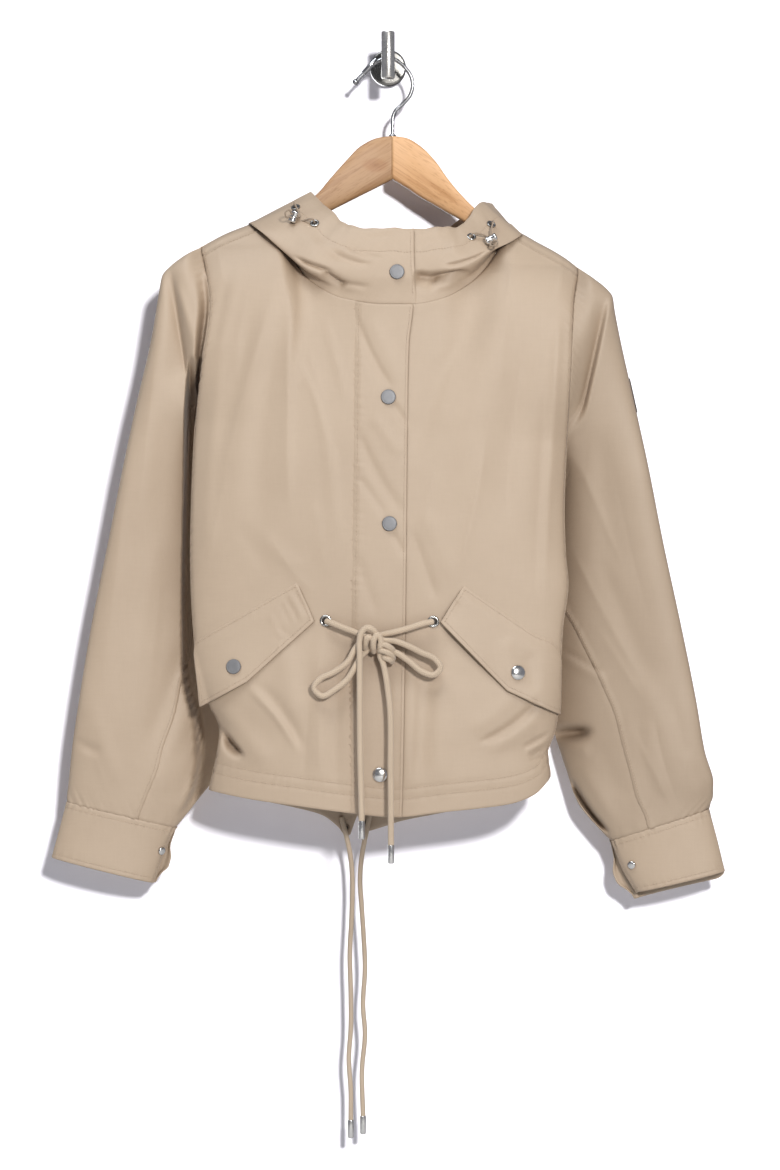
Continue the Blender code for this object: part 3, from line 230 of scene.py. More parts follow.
# Folds, as seen from the front: the two ends of the fold's line, how far the
# line bows sideways, half width at each end, height (a trough where below zero)
# and how much wider the fold's side to the left of its run is than its other side.
FRONT_FOLDS = table(
    "x0      z0      x1      z1      bow  w0  w1  height skew",
    (-107.5, -219.4, -159.3, -466.3, 6, 9, 17, 1.65, 1.0),
    (-165.2, -292.1, -181.2, -506.1, 3, 6, 8, 1.21, 1.0),
    (-96.6, -242.3, -101.5, -440.4, 0, 5, 7, 0.83, 1.0),
    (-79.6, -297.1, -50.8, -494.2, -5, 5, 8, 0.88, 1.0),
    (-65.7, -259.2, -41.8, -345.9, 0, 5, 5, 0.66, 1.0),
    (-135.4, -265.1, -163.3, -392.7, 0, 8, 10, -1.21, 1.0),
    (-112.5, -277.1, -128.4, -476.3, 5, 9, 15, -1.32, 1.0),
    (-147.3, -209.4, -169.2, -302.0, 0, 6, 6, 0.83, 1.0),
    (-159.3, -215.4, -175.2, -290.1, 0, 4, 5, -0.66, 1.0),
    (-125.0, -478.0, -84.0, -515.0, 4, 7, 9, 0.72, 1.0),
    (-150.0, -470.0, -118.0, -520.0, 0, 9, 9, -0.66, 1.0),
    (90.6, -258.2, 22.9, -402.6, 4, 11, 14, -1.98, 1.0),
    (116.5, -262.2, 77.6, -446.4, 6, 14, 18, 1.98, 1.0),
    (143.4, -285.1, 113.5, -470.4, 6, 12, 15, -1.65, 1.0),
    (170.2, -262.2, 165.2, -440.4, 0, 5, 7, 1.43, 1.0),
    (60.0, -240.0, 44.0, -310.0, 0, 10, 14, 0.99, 1.0),
    (23.9, -476.2, 48.8, -545.9, 0, 4, 5, -0.94, 1.0),
    (36.0, -455.0, 66.0, -530.0, 0, 8, 10, 0.77, 1.0),
    (-180.0, -664.0, -145.0, -701.0, 0, 7, 2.6, -15, 1.8),
    (-128.0, -630.0, -84.0, -694.0, -4, 7, 5, -1.6, 1.0),
    (-142.0, -630.0, -91.0, -694.0, -4, 4.5, 3.2, 1.2, 1.0),
    (-165.0, -655.0, -118.0, -712.0, 0, 11, 12, 2.2, 1.0),
    (-67.0, -586.0, -69.0, -728.0, 3, 7, 9, 1.3, 1.0),
    (-50.0, -596.0, -52.5, -735.0, 0, 5, 7, -1.1, 1.0),
    (-104.0, -590.0, -92.0, -668.0, 0, 12, 12, 1.6, 1.0),
    (150.0, -646.0, 93.0, -686.0, -4, 5.5, 2.6, -2.6, 0.8),
    (150.0, -660.0, 100.0, -696.0, -3, 8, 7, 1.3, 1.0),
    (128.0, -640.0, 84.0, -676.0, 0, 10, 8, 1.2, 1.0),
    (136.0, -692.0, 162.0, -679.0, 0, 1.9, 2.4, -2.2, 1.0),
    (138.0, -697.0, 162.0, -686.0, 0, 2.0, 2.4, 1.4, 1.0),
    (141.0, -701.0, 159.0, -693.5, 0, 1.6, 2.0, -2.4, 1.0),
    (142.0, -706.0, 158.0, -702.0, 0, 1.6, 1.8, -2.0, 1.0),
    (24.0, -600.0, 20.0, -735.0, 2, 6, 8, 1.6, 1.0),
    (38.0, -600.0, 30.0, -720.0, -3, 8, 10, -1.6, 1.0),
    (60.0, -600.0, 52.0, -735.0, 4, 12, 14, 1.8, 1.0),
)
FRONT_CREASES = table(
    "x0      z0      x1      z1      bow  w0  w1  height skew",
    (-99.5, -262.0, -97.5, -466.0, 1, 6, 8, 1.25, 1.6),
    (-112.0, -236.0, -166.0, -425.0, 3, 5, 8, 0.9, 0.8),
    (-160.0, -410.0, -178.0, -500.0, 0, 4, 5, 0.7, 1.0),
    (-90.0, -305.0, -56.0, -402.0, -3, 4, 6, 0.8, 1.2),
    (-84.0, -296.0, -45.0, -415.0, 0, 4, 5, -0.6, 1.0),
    (-62.0, -262.0, -44.0, -330.0, 0, 3, 4, 0.5, 1.0),
    (-140.0, -230.0, -152.0, -330.0, 2, 5, 7, 0.6, 1.0),
    (-76.0, -440.0, -62.0, -520.0, 0, 4, 6, 0.5, 1.0),
    (-112.0, -492.0, -72.0, -540.0, 3, 4, 5, 0.6, 1.0),
    (97.0, -380.0, 69.0, -516.0, -4, 5, 7, 1.5, 0.8),
    (169.0, -272.0, 157.0, -548.0, 1, 3.5, 5, 1.2, 1.5),
    (158.0, -330.0, 146.0, -548.0, 1, 5, 7, -0.9, 1.0),
    (121.0, -250.0, 111.0, -345.0, 2, 6, 9, 0.8, 1.0),
    (136.0, -300.0, 118.0, -470.0, 3, 6, 8, -0.8, 1.0),
    (72.0, -300.0, 48.0, -372.0, 2, 5, 7, 0.6, 1.0),
    (46.0, -410.0, 34.0, -486.0, 0, 4, 6, 0.6, 1.0),
    (24.0, -480.0, 48.0, -548.0, 0, 3, 4, -0.8, 1.0),
    (-64.0, -612.0, -66.0, -726.0, 2, 3, 4, 0.8, 1.0),
    (-78.0, -640.0, -84.0, -732.0, 0, 3, 4, -0.6, 1.0),
    (27.0, -620.0, 23.0, -728.0, 0, 3, 4, 0.7, 1.0),
    (150.0, -648.0, 92.0, -688.0, -4, 3, 3, -1.0, 1.0),
    (-140.0, -634.0, -90.0, -696.0, -4, 3, 3, 0.6, 1.0),
)
PLACKET_FOLDS = table(
    "x0      z0      x1      z1      bow  w0  w1  height skew",
    (-30.9, -262.2, 4.0, -334.9, 3, 3, 5, -1.6, 1.6),
    (-20.0, -262.0, 14.0, -330.0, 0, 7, 8, 0.8, 1.0),
    (4.0, -348.8, 19.9, -373.7, 0, 3, 4, -1.4, 1.0),
    (-29.9, -376.7, 16.9, -462.3, 4, 5, 8, -1.5, 1.3),
    (-16.0, -362.0, 14.0, -402.0, 0, 6, 7, 1.0, 1.0),
    (-32.0, -420.0, 0.0, -464.0, 0, 4, 5, -1.1, 1.0),
    (4.0, -478.0, 17.0, -502.0, 0, 3, 4, -1.2, 1.0),
    (-33.0, -500.0, -12.0, -560.0, 0, 6, 6, -0.9, 1.0),
    (8.0, -620.0, 4.0, -740.0, 0, 5, 6, 0.8, 1.0),
    (-34.0, -600.0, -31.0, -735.0, 0, 4, 5, 0.9, 1.0),
)
BACK_FOLDS = table(
    "x0      z0      x1      z1      bow  w0  w1  height skew",
    (-150, -330, -120, -560, 4, 14, 18, 4.5, 1.0),
    (-95, -400, -100, -640, -5, 12, 16, 3.6, 1.0),
    (135, -350, 105, -580, -4, 13, 18, 4.5, 1.0),
    (82, -430, 90, -660, 4, 12, 16, 3.6, 1.0),
    (-20, -480, -30, -700, 5, 14, 18, 3.2, 1.0),
    (40, -520, 55, -720, -3, 10, 15, 3.2, 1.0),
    (-130, -600, -140, -735, 0, 9, 12, 3.0, 1.0),
    (-125, -400, -112, -600, 3, 8, 10, -2.6, 1.0),
    (112, -420, 98, -640, 3, 8, 10, -2.6, 1.0),
    (10, -540, 14, -730, 3, 9, 12, -2.4, 1.0),
    (-60, -560, -66, -740, -3, 8, 11, -2.2, 1.0),
    (-165, -300, -150, -420, 3, 6, 8, 2.4, 1.0),
    (160, -310, 148, -430, -3, 6, 8, 2.4, 1.0),
    (130, -610, 138, -735, 0, 8, 10, 2.6, 1.0),
)


def fold_height(folds, x, z):
    """Sum of the soft ridges and troughs at a place on the panel."""
    total = np.zeros_like(x)
    for x0, z0, x1, z1, bow, w0, w1, height, skew in zip(*folds.values()):
        dx, dz = x1 - x0, z1 - z0
        length = math.hypot(dx, dz)
        q = ((x - x0) * dx + (z - z0) * dz) / length ** 2
        run = np.clip(q, 0, 1)
        off = ((x - x0) * dz - (z - z0) * dx) / length - bow * 4 * run * (1 - run)
        width = mix(w0, w1, run) * np.where(off > 0, skew, 1 / skew)
        ends = np.clip(np.minimum(q, 1 - q) / 0.3 + 0.3, 0, 1)
        ends = ends * ends * (3 - 2 * ends)
        total = total + height * ends * np.exp(-(off / width) ** 2)
    return total


def crease_height(creases, x, z, tip=0.9):
    """Sum of the crisp ridges and troughs: a tight crest with long flanks."""
    total = np.zeros_like(x)
    for x0, z0, x1, z1, bow, w0, w1, height, skew in zip(*creases.values()):
        dx, dz = x1 - x0, z1 - z0
        length = math.hypot(dx, dz)
        q = ((x - x0) * dx + (z - z0) * dz) / length ** 2
        run = np.clip(q, 0, 1)
        off = ((x - x0) * dz - (z - z0) * dx) / length - bow * 4 * run * (1 - run)
        width = mix(w0, w1, run) * np.where(off > 0, skew, 1 / skew)
        ends = np.clip(np.minimum(q, 1 - q) / 0.35 + 0.2, 0, 1)
        ends = ends * ends * (3 - 2 * ends)
        total = total + height * ends * np.exp(-(np.sqrt(off * off + tip * tip) - tip) / width)
    return total


def rolled(drop, radius):
    q = np.clip(drop / radius, 0, 1)
    return np.sqrt(1 - (1 - q) ** 2)


def front_y(x, z):
    """Depth of the front's outside at a place seen from the front."""
    t = np.clip(share(x, z), 0, 1)
    across = 2 * t - 1
    gap = np.where(across < 0, armhole_open(z, "left", "open_front"),
                   armhole_open(z, "right", "open_front"))
    edge = side_y(z) - gap
    full = (1 - np.abs(across) ** 2.6) ** (1 / 2.2)
    flat = edge + (front_reach(z) - edge) * full
    drop = front_top_z(t) - z
    neck = np.clip(1 - np.abs(across) / 0.9, 0, 1) ** 0.5
    flatter = smooth_step((0.60 - np.abs(across)) / 0.18)
    roll = mix(rolled(drop, 50 + 55 * neck), 1 - (1 - np.clip(drop / 110, 0, 1)) ** 2, flatter)
    fade = np.clip(drop / 60, 0, 1) * np.clip((1 - np.abs(across)) / 0.07, 0, 1)
    return mix(front_top_y(t), flat, roll) - (fold_height(FRONT_FOLDS, x, z) + crease_height(FRONT_CREASES, x, z)) * fade


def back_y(x, z):
    t = np.clip(share(x, z), 0, 1)
    across = 2 * t - 1
    gap = np.where(across < 0, armhole_open(z, "left", "open_back"),
                   armhole_open(z, "right", "open_back"))
    edge = side_y(z) + gap
    full = np.sqrt(1 - np.abs(across) ** 2)
    flat = edge + (back_reach(z) - edge) * full
    drop = back_top_z(t) - z
    roll = rolled(drop, 40)
    fade = np.clip(drop / 60, 0, 1) * np.clip((1 - np.abs(across)) / 0.2, 0, 1)
    return mix(back_top_y(t), flat, roll) + fold_height(BACK_FOLDS, x, z) * fade


def front_point(x, z):
    x, z = np.asarray(x, float), np.asarray(z, float)
    return np.stack([x, front_y(x, z), z], -1)


def front_normal(x, z):
    step = 1.5
    gx = (front_y(x + step, z) - front_y(x - step, z)) / (2 * step)
    gz = (front_y(x, z + step) - front_y(x, z - step)) / (2 * step)
    n = np.stack([gx, -np.ones_like(gx), gz], -1)
    return n / np.linalg.norm(n, axis=-1, keepdims=True)


# ------------------------------------------------------------ panel outlines
PLACKET = table(
    "z     seam   edge",
    (-240, -35.0, 25.5),
    (-260, -35.2, 24.0),
    (-290, -35.5, 20.5),
    (-400, -36.5, 18.5),
    (-560, -38.5, 17.0),
    (-700, -39.0, 15.0),
    (-770, -40.0, 13.0))
placket_seam = along(PLACKET["z"], PLACKET["seam"])
placket_edge = along(PLACKET["z"], PLACKET["edge"])


def strip_t(line, shift, rows, top, hem):
    """Where an upright line crosses the body, row by row, neck to hem."""
    z_top = -250.0
    z_hem = -758.0
    for _ in range(4):
        z_top = float(top(share(line(z_top) + shift, z_top)))
        z_hem = float(hem(share(line(z_hem) + shift, z_hem)))
    z = mix(z_top, z_hem, rows)
    return share(line(z) + shift, z)


def front_grid(from_t, to_t, cols, rows, lower=0.0):
    """Points of the front between two upright edges, given per row."""
    ta = mix(from_t[None, :], to_t[None, :], cols[:, None])
    top = front_top_z(ta[:, :1]) - lower
    hem = front_hem_z(ta[:, -1:])
    z = mix(top, hem, rows[None, :])
    x = spread(ta, z)
    return front_point(x, z)


def even(n):
    return np.linspace(0, 1, n + 1)



# ------------------------------------------------------------ sleeves
# One row per ring down the sleeve: the outer edge, the inner edge, the depth
# of the middle and the half depth.
SLEEVE_LEFT = table(
    "ox      oz      ix      iz      y    half",
    (-205.0, -199.5, -195.5, -373.0, -76, 24),
    (-219.5, -210.5, -196.5, -374.5, -75, 24),
    (-227.5, -220.0, -196.5, -376.0, -74, 24),
    (-230.5, -236.0, -196.5, -377.5, -73, 24),
    (-238.0, -281.0, -196.5, -381.0, -70, 24),
    (-253.0, -346.0, -194.0, -392.0, -64, 23),
    (-266.0, -407.0, -189.5, -440.0, -58, 22),
    (-283.0, -490.0, -184.0, -516.0, -52, 21),
    (-300.0, -573.5, -178.5, -597.0, -48, 20),
    (-312.5, -648.0, -169.0, -671.0, -46, 20),
    (-319.5, -694.0, -172.0, -716.0, -46, 20),
    (-323.5, -728.0, -195.5, -752.0, -46, 19),
    (-326.0, -750.5, -215.5, -777.0, -46, 17),
)
SLEEVE_RIGHT = table(
    "ox      oz      ix      iz      y    half",
    (207.0, -222.5, 182.5, -390.0, -76, 24),
    (219.5, -232.5, 183.5, -391.5, -75, 24),
    (226.0, -241.0, 183.5, -393.0, -74, 24),
    (228.0, -254.0, 183.5, -394.5, -73, 24),
    (233.0, -280.0, 183.5, -398.0, -70, 24),
    (247.0, -343.0, 176.0, -408.0, -64, 23),
    (261.0, -407.0, 163.0, -452.0, -57, 22),
    (277.5, -489.0, 153.0, -524.0, -51, 21),
    (295.5, -571.0, 153.0, -602.0, -47, 20),
    (311.5, -650.0, 170.0, -682.0, -46, 20),
    (320.0, -698.0, 182.5, -722.0, -46, 20),
    (329.5, -731.0, 193.5, -753.0, -46, 19),
    (329.5, -744.0, 213.0, -777.0, -46, 18),
    (325.5, -757.5, 226.0, -790.0, -46, 17),
)
# Where the seams of each sleeve run round it, in degrees from the outer edge,
# from the armhole to the cuff.
SLEEVE_SEAMS = table(
    "down  left  right back",
    (0.00, 132.0, 132.0, 228),
    (0.20, 140.0, 140.0, 232),
    (0.42, 141.0, 141.0, 235),
    (0.49, 137.0, 132.5, 236),
    (0.575, 130.0, 114.0, 238),
    (0.66, 123.0, 102.5, 240),
    (0.69, 117.0, 100.0, 241),
    (0.77, 108.0, 95.5, 243),
    (0.87, 99.0, 95.3, 246),
    (0.96, 102.0, 98.5, 249),
    (1.00, 105.0, 101.0, 250))
seam_front = {side: along(SLEEVE_SEAMS["down"], SLEEVE_SEAMS[side]) for side in ("left", "right")}
seam_back = along(SLEEVE_SEAMS["down"], SLEEVE_SEAMS["back"])


def bent(v, power):
    return np.sign(v) * np.abs(v) ** power


def sleeve_rings(rings, which, turn):
    """Points of every ring at the given turns (degrees), armhole first."""
    a = np.radians(turn)
    c, s = np.cos(a), np.sin(a)
    hole = ARMHOLE[which]
    edge_x = left_x if which == "left" else right_x
    out = -1 if which == "left" else 1
    z = mix(hole["bottom"], hole["top"], (1 + c) / 2)
    y = np.where(s > 0, front_y(edge_x(z), z), back_y(edge_x(z), z))
    rows = [np.stack([edge_x(z) - out * 0.1, y, z], -1)]
    for ox, oz, ix, iz, yc, half in zip(*rings.values()):
        q = (1 + bent(c, 0.9)) / 2
        rows.append(np.stack([mix(ix, ox, q), yc - half * bent(s, 0.85), mix(iz, oz, q)], -1))
    return np.stack(rows, 0)


SLEEVE_FOLDS_LEFT = table(
    "x0      z0      x1      z1      bow  w0  w1  height skew",
    (-213.0, -226.0, -189.0, -300.0, 0, 4.0, 6.0, 3.0, 1.0),
    (-226.0, -245.0, -252.0, -480.0, 4, 11, 15, 2.0, 1.0),
    (-241.0, -290.0, -264.0, -520.0, 0, 8, 11, -1.2, 1.0),
    (-260.0, -395.0, -286.0, -650.0, 3, 9, 12, 1.4, 1.0),
    (-232.0, -480.0, -258.0, -700.0, 4, 12, 14, 1.4, 1.0),
    (-206.0, -590.0, -240.0, -690.0, 0, 9, 9, -1.4, 1.0),
    (-196.0, -640.0, -240.0, -745.0, 0, 9, 10, 1.8, 1.0),
    (-324.0, -686.0, -290.0, -701.0, 0, 4, 6, -2.6, 1.0),
    (-305.0, -640.0, -272.0, -735.0, 0, 11, 10, 1.4, 1.0),
    (-186.0, -690.0, -214.0, -752.0, 0, 5, 5, -1.6, 1.0))
SLEEVE_FOLDS_RIGHT = table(
    "x0      z0      x1      z1      bow  w0  w1  height skew",
    (220.1, -240.0, 190.8, -374.0, 0, 5, 6, -10.0, 2.2),
    (214.0, -380.6, 228.2, -515.8, 0, 11, 14, -2.0, 1.0),
    (212.0, -500.8, 266.5, -630.9, 0, 8, 10, -1.2, 1.0),
    (250.4, -404.9, 294.8, -630.9, 4, 13, 16, 1.8, 1.0),
    (254.4, -620.9, 304.9, -752.1, 0, 11, 13, 1.5, 1.0),
    (284.0, -640.0, 316.0, -748.0, 0, 7, 8, -1.2, 1.0),
    (240.0, -660.0, 262.0, -770.0, 0, 8, 8, 1.0, 1.0),
    (172.0, -594.0, 215.0, -618.5, 0, 2.4, 2.8, -2.0, 1.0),
    (174.0, -602.0, 220.0, -628.0, 0, 5, 6, 1.4, 1.0),
    (176.0, -694.0, 204.0, -700.0, 0, 6, 7, 2.6, 1.0),
    (214.0, -690.0, 238.0, -745.0, 3, 9, 9, -1.4, 1.0),
    (262.0, -668.0, 282.0, -742.0, 4, 7, 9, 1.4, 1.0),
    (300.0, -700.0, 318.0, -748.0, 0, 6, 6, 1.6, 1.0),
    (196.0, -716.0, 232.0, -776.0, 0, 7, 7, 2.4, 1.0))
SLEEVE_CREASES_LEFT = table(
    "x0      z0      x1      z1      bow  w0  w1  height skew",
    (-222.0, -196.0, -198.0, -352.0, 0, 8.0, 15.0, -15.0, 1.6),
    (-232.0, -300.0, -248.0, -470.0, 2, 4, 6, 0.6, 1.0),
    (-262.0, -420.0, -284.0, -600.0, 0, 4, 6, 0.5, 1.0),
    (-228.0, -520.0, -244.0, -660.0, 0, 4, 6, 0.5, 1.0),
    (-318.0, -684.0, -296.0, -700.0, 0, 2, 3, -0.9, 1.0),
    (-300.0, -690.0, -284.0, -740.0, 0, 3, 4, 0.5, 1.0),
    (-206.0, -700.0, -236.0, -752.0, 0, 3, 4, 0.7, 1.0))
SLEEVE_CREASES_RIGHT = table(
    "x0      z0      x1      z1      bow  w0  w1  height skew",
    (186.8, -395.7, 237.0, -514.0, 0, 4, 6, 1.1, 1.0),
    (181.2, -484.6, 253.4, -624.0, 2, 4, 6, 1.0, 1.0),
    (214.6, -579.0, 256.4, -646.0, 0, 3, 5, 0.7, 1.0),
    (228.0, -420.0, 262.0, -560.0, 2, 4, 6, -0.6, 1.0),
    (250.4, -684.5, 286.7, -757.0, 0, 3, 4, 1.0, 1.0),
    (267.6, -662.0, 295.0, -757.0, 3, 3, 4, -0.9, 1.0),
    (292.0, -690.0, 310.0, -752.0, 0, 3, 4, 0.9, 1.0),
    (312.0, -712.0, 329.0, -741.0, 0, 2.5, 3, -1.4, 1.0))


def stations(rings, which):
    """Share of the sleeve's length at each ring, armhole 0 and cuff 1."""
    ref = sleeve_rings(rings, which, np.array([0.0, 90.0, 180.0, 270.0]))
    steps = np.linalg.norm(np.diff(ref, axis=0), axis=-1).mean(-1)
    return np.concatenate([[0], np.cumsum(steps)]) / steps.sum()


# The outer edge of each sleeve hangs a little forward of its inner edge.
LEAN = table("down left right", (0.0, 0.0, 0.0), (0.12, 4.0, 8.0), (0.35, 17.0, 23.0),
             (0.75, 17.0, 22.0), (1.0, 4.0, 4.0))
lean_y = {side: along(LEAN["down"], LEAN[side]) for side in ("left", "right")}


# Where the right sleeve's front turns in beside the body: the turning line,
# how softly it turns and how far in it goes.
TURN_IN = table(
    "z     x       soft deep",
    (-302, -201.0, 3, 0.0), (-330, -203.4, 3, 0.4), (-352, -205.0, 2.6, 0.85), (-375, -205.8, 2.4, 1.0),
    (-445, -207.3, 2.4, 1.0),
    (-522, -208.8, 2.4, 1.0), (-587, -209.3, 2.6, 1.0), (-618, -208.8, 3.0, 1.0), (-647, -203.0, 4, 1.0),
    (-661, -198.0, 5, 1.0), (-705, -195.0, 6, 1.0), (-735, -200.0, 7, 0.8), (-752, -208.0, 8, 0.35),
    (-768, -218.0, 9, 0.0))
turn_in = {k: along(TURN_IN["z"], TURN_IN[k]) for k in ("x", "soft", "deep")}
# Deep tucks of the left sleeve's inner side.
TUCKS = table(
    "x0      z0      x1      z1      bow  w0  w1  height skew",
    (154.0, -686.0, 204.0, -680.0, 0, 9.0, 4.5, 0.7, 1.0),
    (186.0, -731.0, 222.0, -781.0, 2.5, 2.6, 2.0, 1.0, 1.0))


def tucked(which, x, z):
    if which == "left":
        return turn_in["deep"](z) * smooth_step((x - turn_in["x"](z)) / turn_in["soft"](z))
    return np.clip(fold_height(TUCKS, x, z), 0, 1)


def sleeve_grid(which, turn, down):
    """Points of a sleeve: turns by columns, places down its length by rows."""
    rings = SLEEVE_LEFT if which == "left" else SLEEVE_RIGHT
    folds = SLEEVE_FOLDS_LEFT if which == "left" else SLEEVE_FOLDS_RIGHT
    creases = SLEEVE_CREASES_LEFT if which == "left" else SLEEVE_CREASES_RIGHT
    at = stations(rings, which)
    turn = np.asarray(turn, float)
    if turn.ndim == 1:
        turn = turn[:, None] + 0 * down[None, :]
    points = np.empty(turn.shape + (3,))
    for j in range(turn.shape[1]):
        rows = sleeve_rings(rings, which, turn[:, j])
        points[:, j] = along(at, rows)(down[j])
    s = np.sin(np.radians(turn))
    weight = np.abs(s) ** 1.4 * (np.clip(down / 0.05, 0, 1) * (1 - 0.85 * smooth_step((down - 0.92) / 0.08)))[None, :]
    bump = (fold_height(folds, points[..., 0], points[..., 2])
            + crease_height(creases, points[..., 0], points[..., 2])) * weight
    points[..., 1] -= np.where(s > 0, bump, -0.6 * bump)
    points[..., 1] -= lean_y[which](down)[None, :] * bent(np.cos(np.radians(turn)), 0.9)
    into = tucked(which, points[..., 0], points[..., 2])
    if which == "right":
        points[..., 0] -= (13.0 * np.exp(-((points[..., 2] + 380.0) / 26.0) ** 2)
                           * smooth_step((200.0 - points[..., 0]) / 14.0))
    if which == "left":
        points[..., 1] = mix(points[..., 1], -15.0 - 2.0 * bent(s, 0.85), into)
    else:
        points[..., 1] += np.where(s > 0, 35.0 * bent(s, 0.85) * into, 0.0)
    return points



# ------------------------------------------------------------ cuffs
# Band from the sleeve's end down: outer edge, inner edge and half depth.
CUFF_LEFT = table(
    "down  ox      oz      ix      iz      half",
    (0.0, -326.5, -750.6, -216.0, -777.4, 17.0),
    (0.5, -334.0, -779.0, -228.0, -805.0, 16.5),
    (1.0, -341.5, -806.5, -237.0, -833.0, 17.0))
CUFF_RIGHT = table(
    "down  ox      oz      ix      iz      half",
    (0.0, 326.0, -757.9, 226.5, -790.4, 17.0),
    (0.5, 334.5, -789.5, 236.0, -815.5, 16.5),
    (1.0, 342.0, -820.5, 251.5, -842.5, 17.0))
CUFF_Y = -46
TAB = 8.0            # the back end runs on past the fold as a pointed tab


def cuff_grid(which, turn, down):
    rows = CUFF_LEFT if which == "left" else CUFF_RIGHT
    get = {k: along(rows["down"], rows[k])(down)[None, :] for k in rows}
    a = np.radians(turn)[:, None]
    c, s = np.cos(a), np.sin(a)
    q = (1 + bent(c, 0.9)) / 2
    x = mix(get["ix"], get["ox"], q)
    z = mix(get["iz"], get["oz"], q)
    y = CUFF_Y - get["half"] * bent(s, 0.85) - 4.0 * c * (1 - 0.4 * get["down"]) + 0 * x
    return np.stack([x, y, z], -1)



# ------------------------------------------------------------ hood
# One row per bearing round the neck (0 front, 180 back, positive toward the
# viewer's left): the roll or bag that overhangs, then the face edge.
HOOD = table(
    "bearing rise lean ex      ey    ez      mx     my    mz",
    (-180, 7, 5, 2.0, -10, -372.0, 2.0, -4, -192.0),
    (-160, 7, 5, 48.0, -10, -355.0, 28.0, -5, -187.0),
    (-140, 7, 5, 96.0, -11, -292.0, 52.0, -10, -174.0),
    (-122, 6, 5, 126.0, -16, -212.0, 74.0, -20, -157.0),
    (-106, 5, 4, 134.0, -36, -176.0, 106.0, -34, -142.5),
    (-92, 6, 3, 134.0, -67, -177.0, 97.0, -51, -142.5),
    (-78, 8, 2, 121.0, -87, -186.0, 89.0, -65, -148.5),
    (-62, 9, 1, 100.0, -102, -196.0, 80.0, -79, -163.5),
    (-45, 9, 0, 80.0, -110, -207.0, 69.0, -91, -171.5),
    (-28, 9, 0, 58.0, -113, -213.0, 53.0, -99, -173.5),
    (-14, 9, 0, 33.0, -111, -212.0, 32.0, -102, -174.5),
    (0, 9, 0, 11.0, -110, -211.0, 12.0, -103, -175.5),
    (25, 9, 0, -40.0, -111.5, -214.0, -28.0, -101, -173.5),
    (42, 10, 1, -73.0, -114, -212.0, -44.0, -95, -169.0),
    (58, 12, 2, -101.0, -101, -194.5, -54.0, -84, -157.0),
    (72, 11, 2, -124.0, -88, -177.0, -64.0, -71, -148.5),
    (86, 5, 3, -139.0, -65, -165.5, -74.0, -56, -137.0),
    (100, 4, 4, -141.0, -44, -164.5, -79.0, -44, -131.5),
    (116, 6, 5, -132.0, -19, -203.0, -70.0, -24, -145.0),
    (138, 7, 5, -98.0, -11, -290.0, -48.0, -11, -168.0),
    (160, 7, 5, -46.0, -10, -355.0, -22.0, -5, -186.0),
    (180, 7, 5, 2.0, -10, -372.0, 2.0, -4, -192.0),
)
hood_rise = along(HOOD["bearing"], HOOD["rise"])
hood_lean = along(HOOD["bearing"], HOOD["lean"])
hood_e = along(HOOD["bearing"], np.stack([HOOD["ex"], HOOD["ey"], HOOD["ez"]], -1))
hood_m = along(HOOD["bearing"], np.stack([HOOD["mx"], HOOD["my"], HOOD["mz"]], -1))
NECK_LEFT, NECK_RIGHT, NECK_FRONT, NECK_BACK = -108.6, 121.0, 10.0, 5.0


def neck_ring(bearing):
    """The neck seam, front and back, at a bearing round the neck."""
    a = np.radians(bearing)
    toward = np.where(bearing >= 0, NECK_LEFT, NECK_RIGHT)
    front = np.abs(bearing) <= 90
    middle = np.where(front, NECK_FRONT, NECK_BACK)
    x = middle + (toward - middle) * np.abs(np.sin(a))
    z = np.where(front, -215.0, -172.0)
    for _ in range(25):
        t = share(x, z)
        z = mix(z, np.where(front, front_top_z(t), back_top_z(t)), 0.7)
    t = share(x, z)
    y = np.where(front, front_top_y(t), back_top_y(t))
    return np.stack([x, y, z], -1)


SHARP = 2.2          # how tight the hood's overhanging fold is
STAND = 0.05         # share of the rows taken by the stand above the neck seam


def hood_grid(bearing, up):
    """Up from the neck seam, over the stand, out to the fold and on to the face edge."""
    n = neck_ring(bearing)
    e, m = hood_e(bearing), hood_m(bearing)
    away = (n - np.array([8.0, -60.0, 0.0])) * np.array([1, 1, 0])
    away = away / np.linalg.norm(away, axis=-1, keepdims=True)
    n = n - away * 0.9 + np.array([0, 0, -2.4])
    r = n + away * hood_lean(bearing)[:, None] + np.array([0, 0, 1]) * hood_rise(bearing)[:, None]
    c = (e * (2 + 2 * SHARP) - r - m) / (2 * SHARP)
    v = np.clip((up - STAND) / (1 - STAND), 0, 1)[None, :, None]
    a, b, d = (1 - v) ** 2, 2 * SHARP * v * (1 - v), v ** 2
    over = (a * r[:, None] + b * c[:, None] + d * m[:, None]) / (a + b + d)
    q = np.clip(up / STAND, 0, 1)[None, :, None]
    return np.where(q < 1, mix(n[:, None], r[:, None], q), over)



# ------------------------------------------------------------ pocket flaps
# Corners as seen from the front: outer top, inner top, inner low, point, outer low.
FLAP_RIGHT = table("x z", (-194.0, -588.0), (-90.6, -529.0), (-73.6, -567.0),
                   (-140.4, -627.0), (-187.0, -652.0))
FLAP_LEFT = table("x z", (172.5, -598.0), (75.6, -532.0), (52.7, -568.0),
                  (118.6, -636.0), (171.5, -660.0))


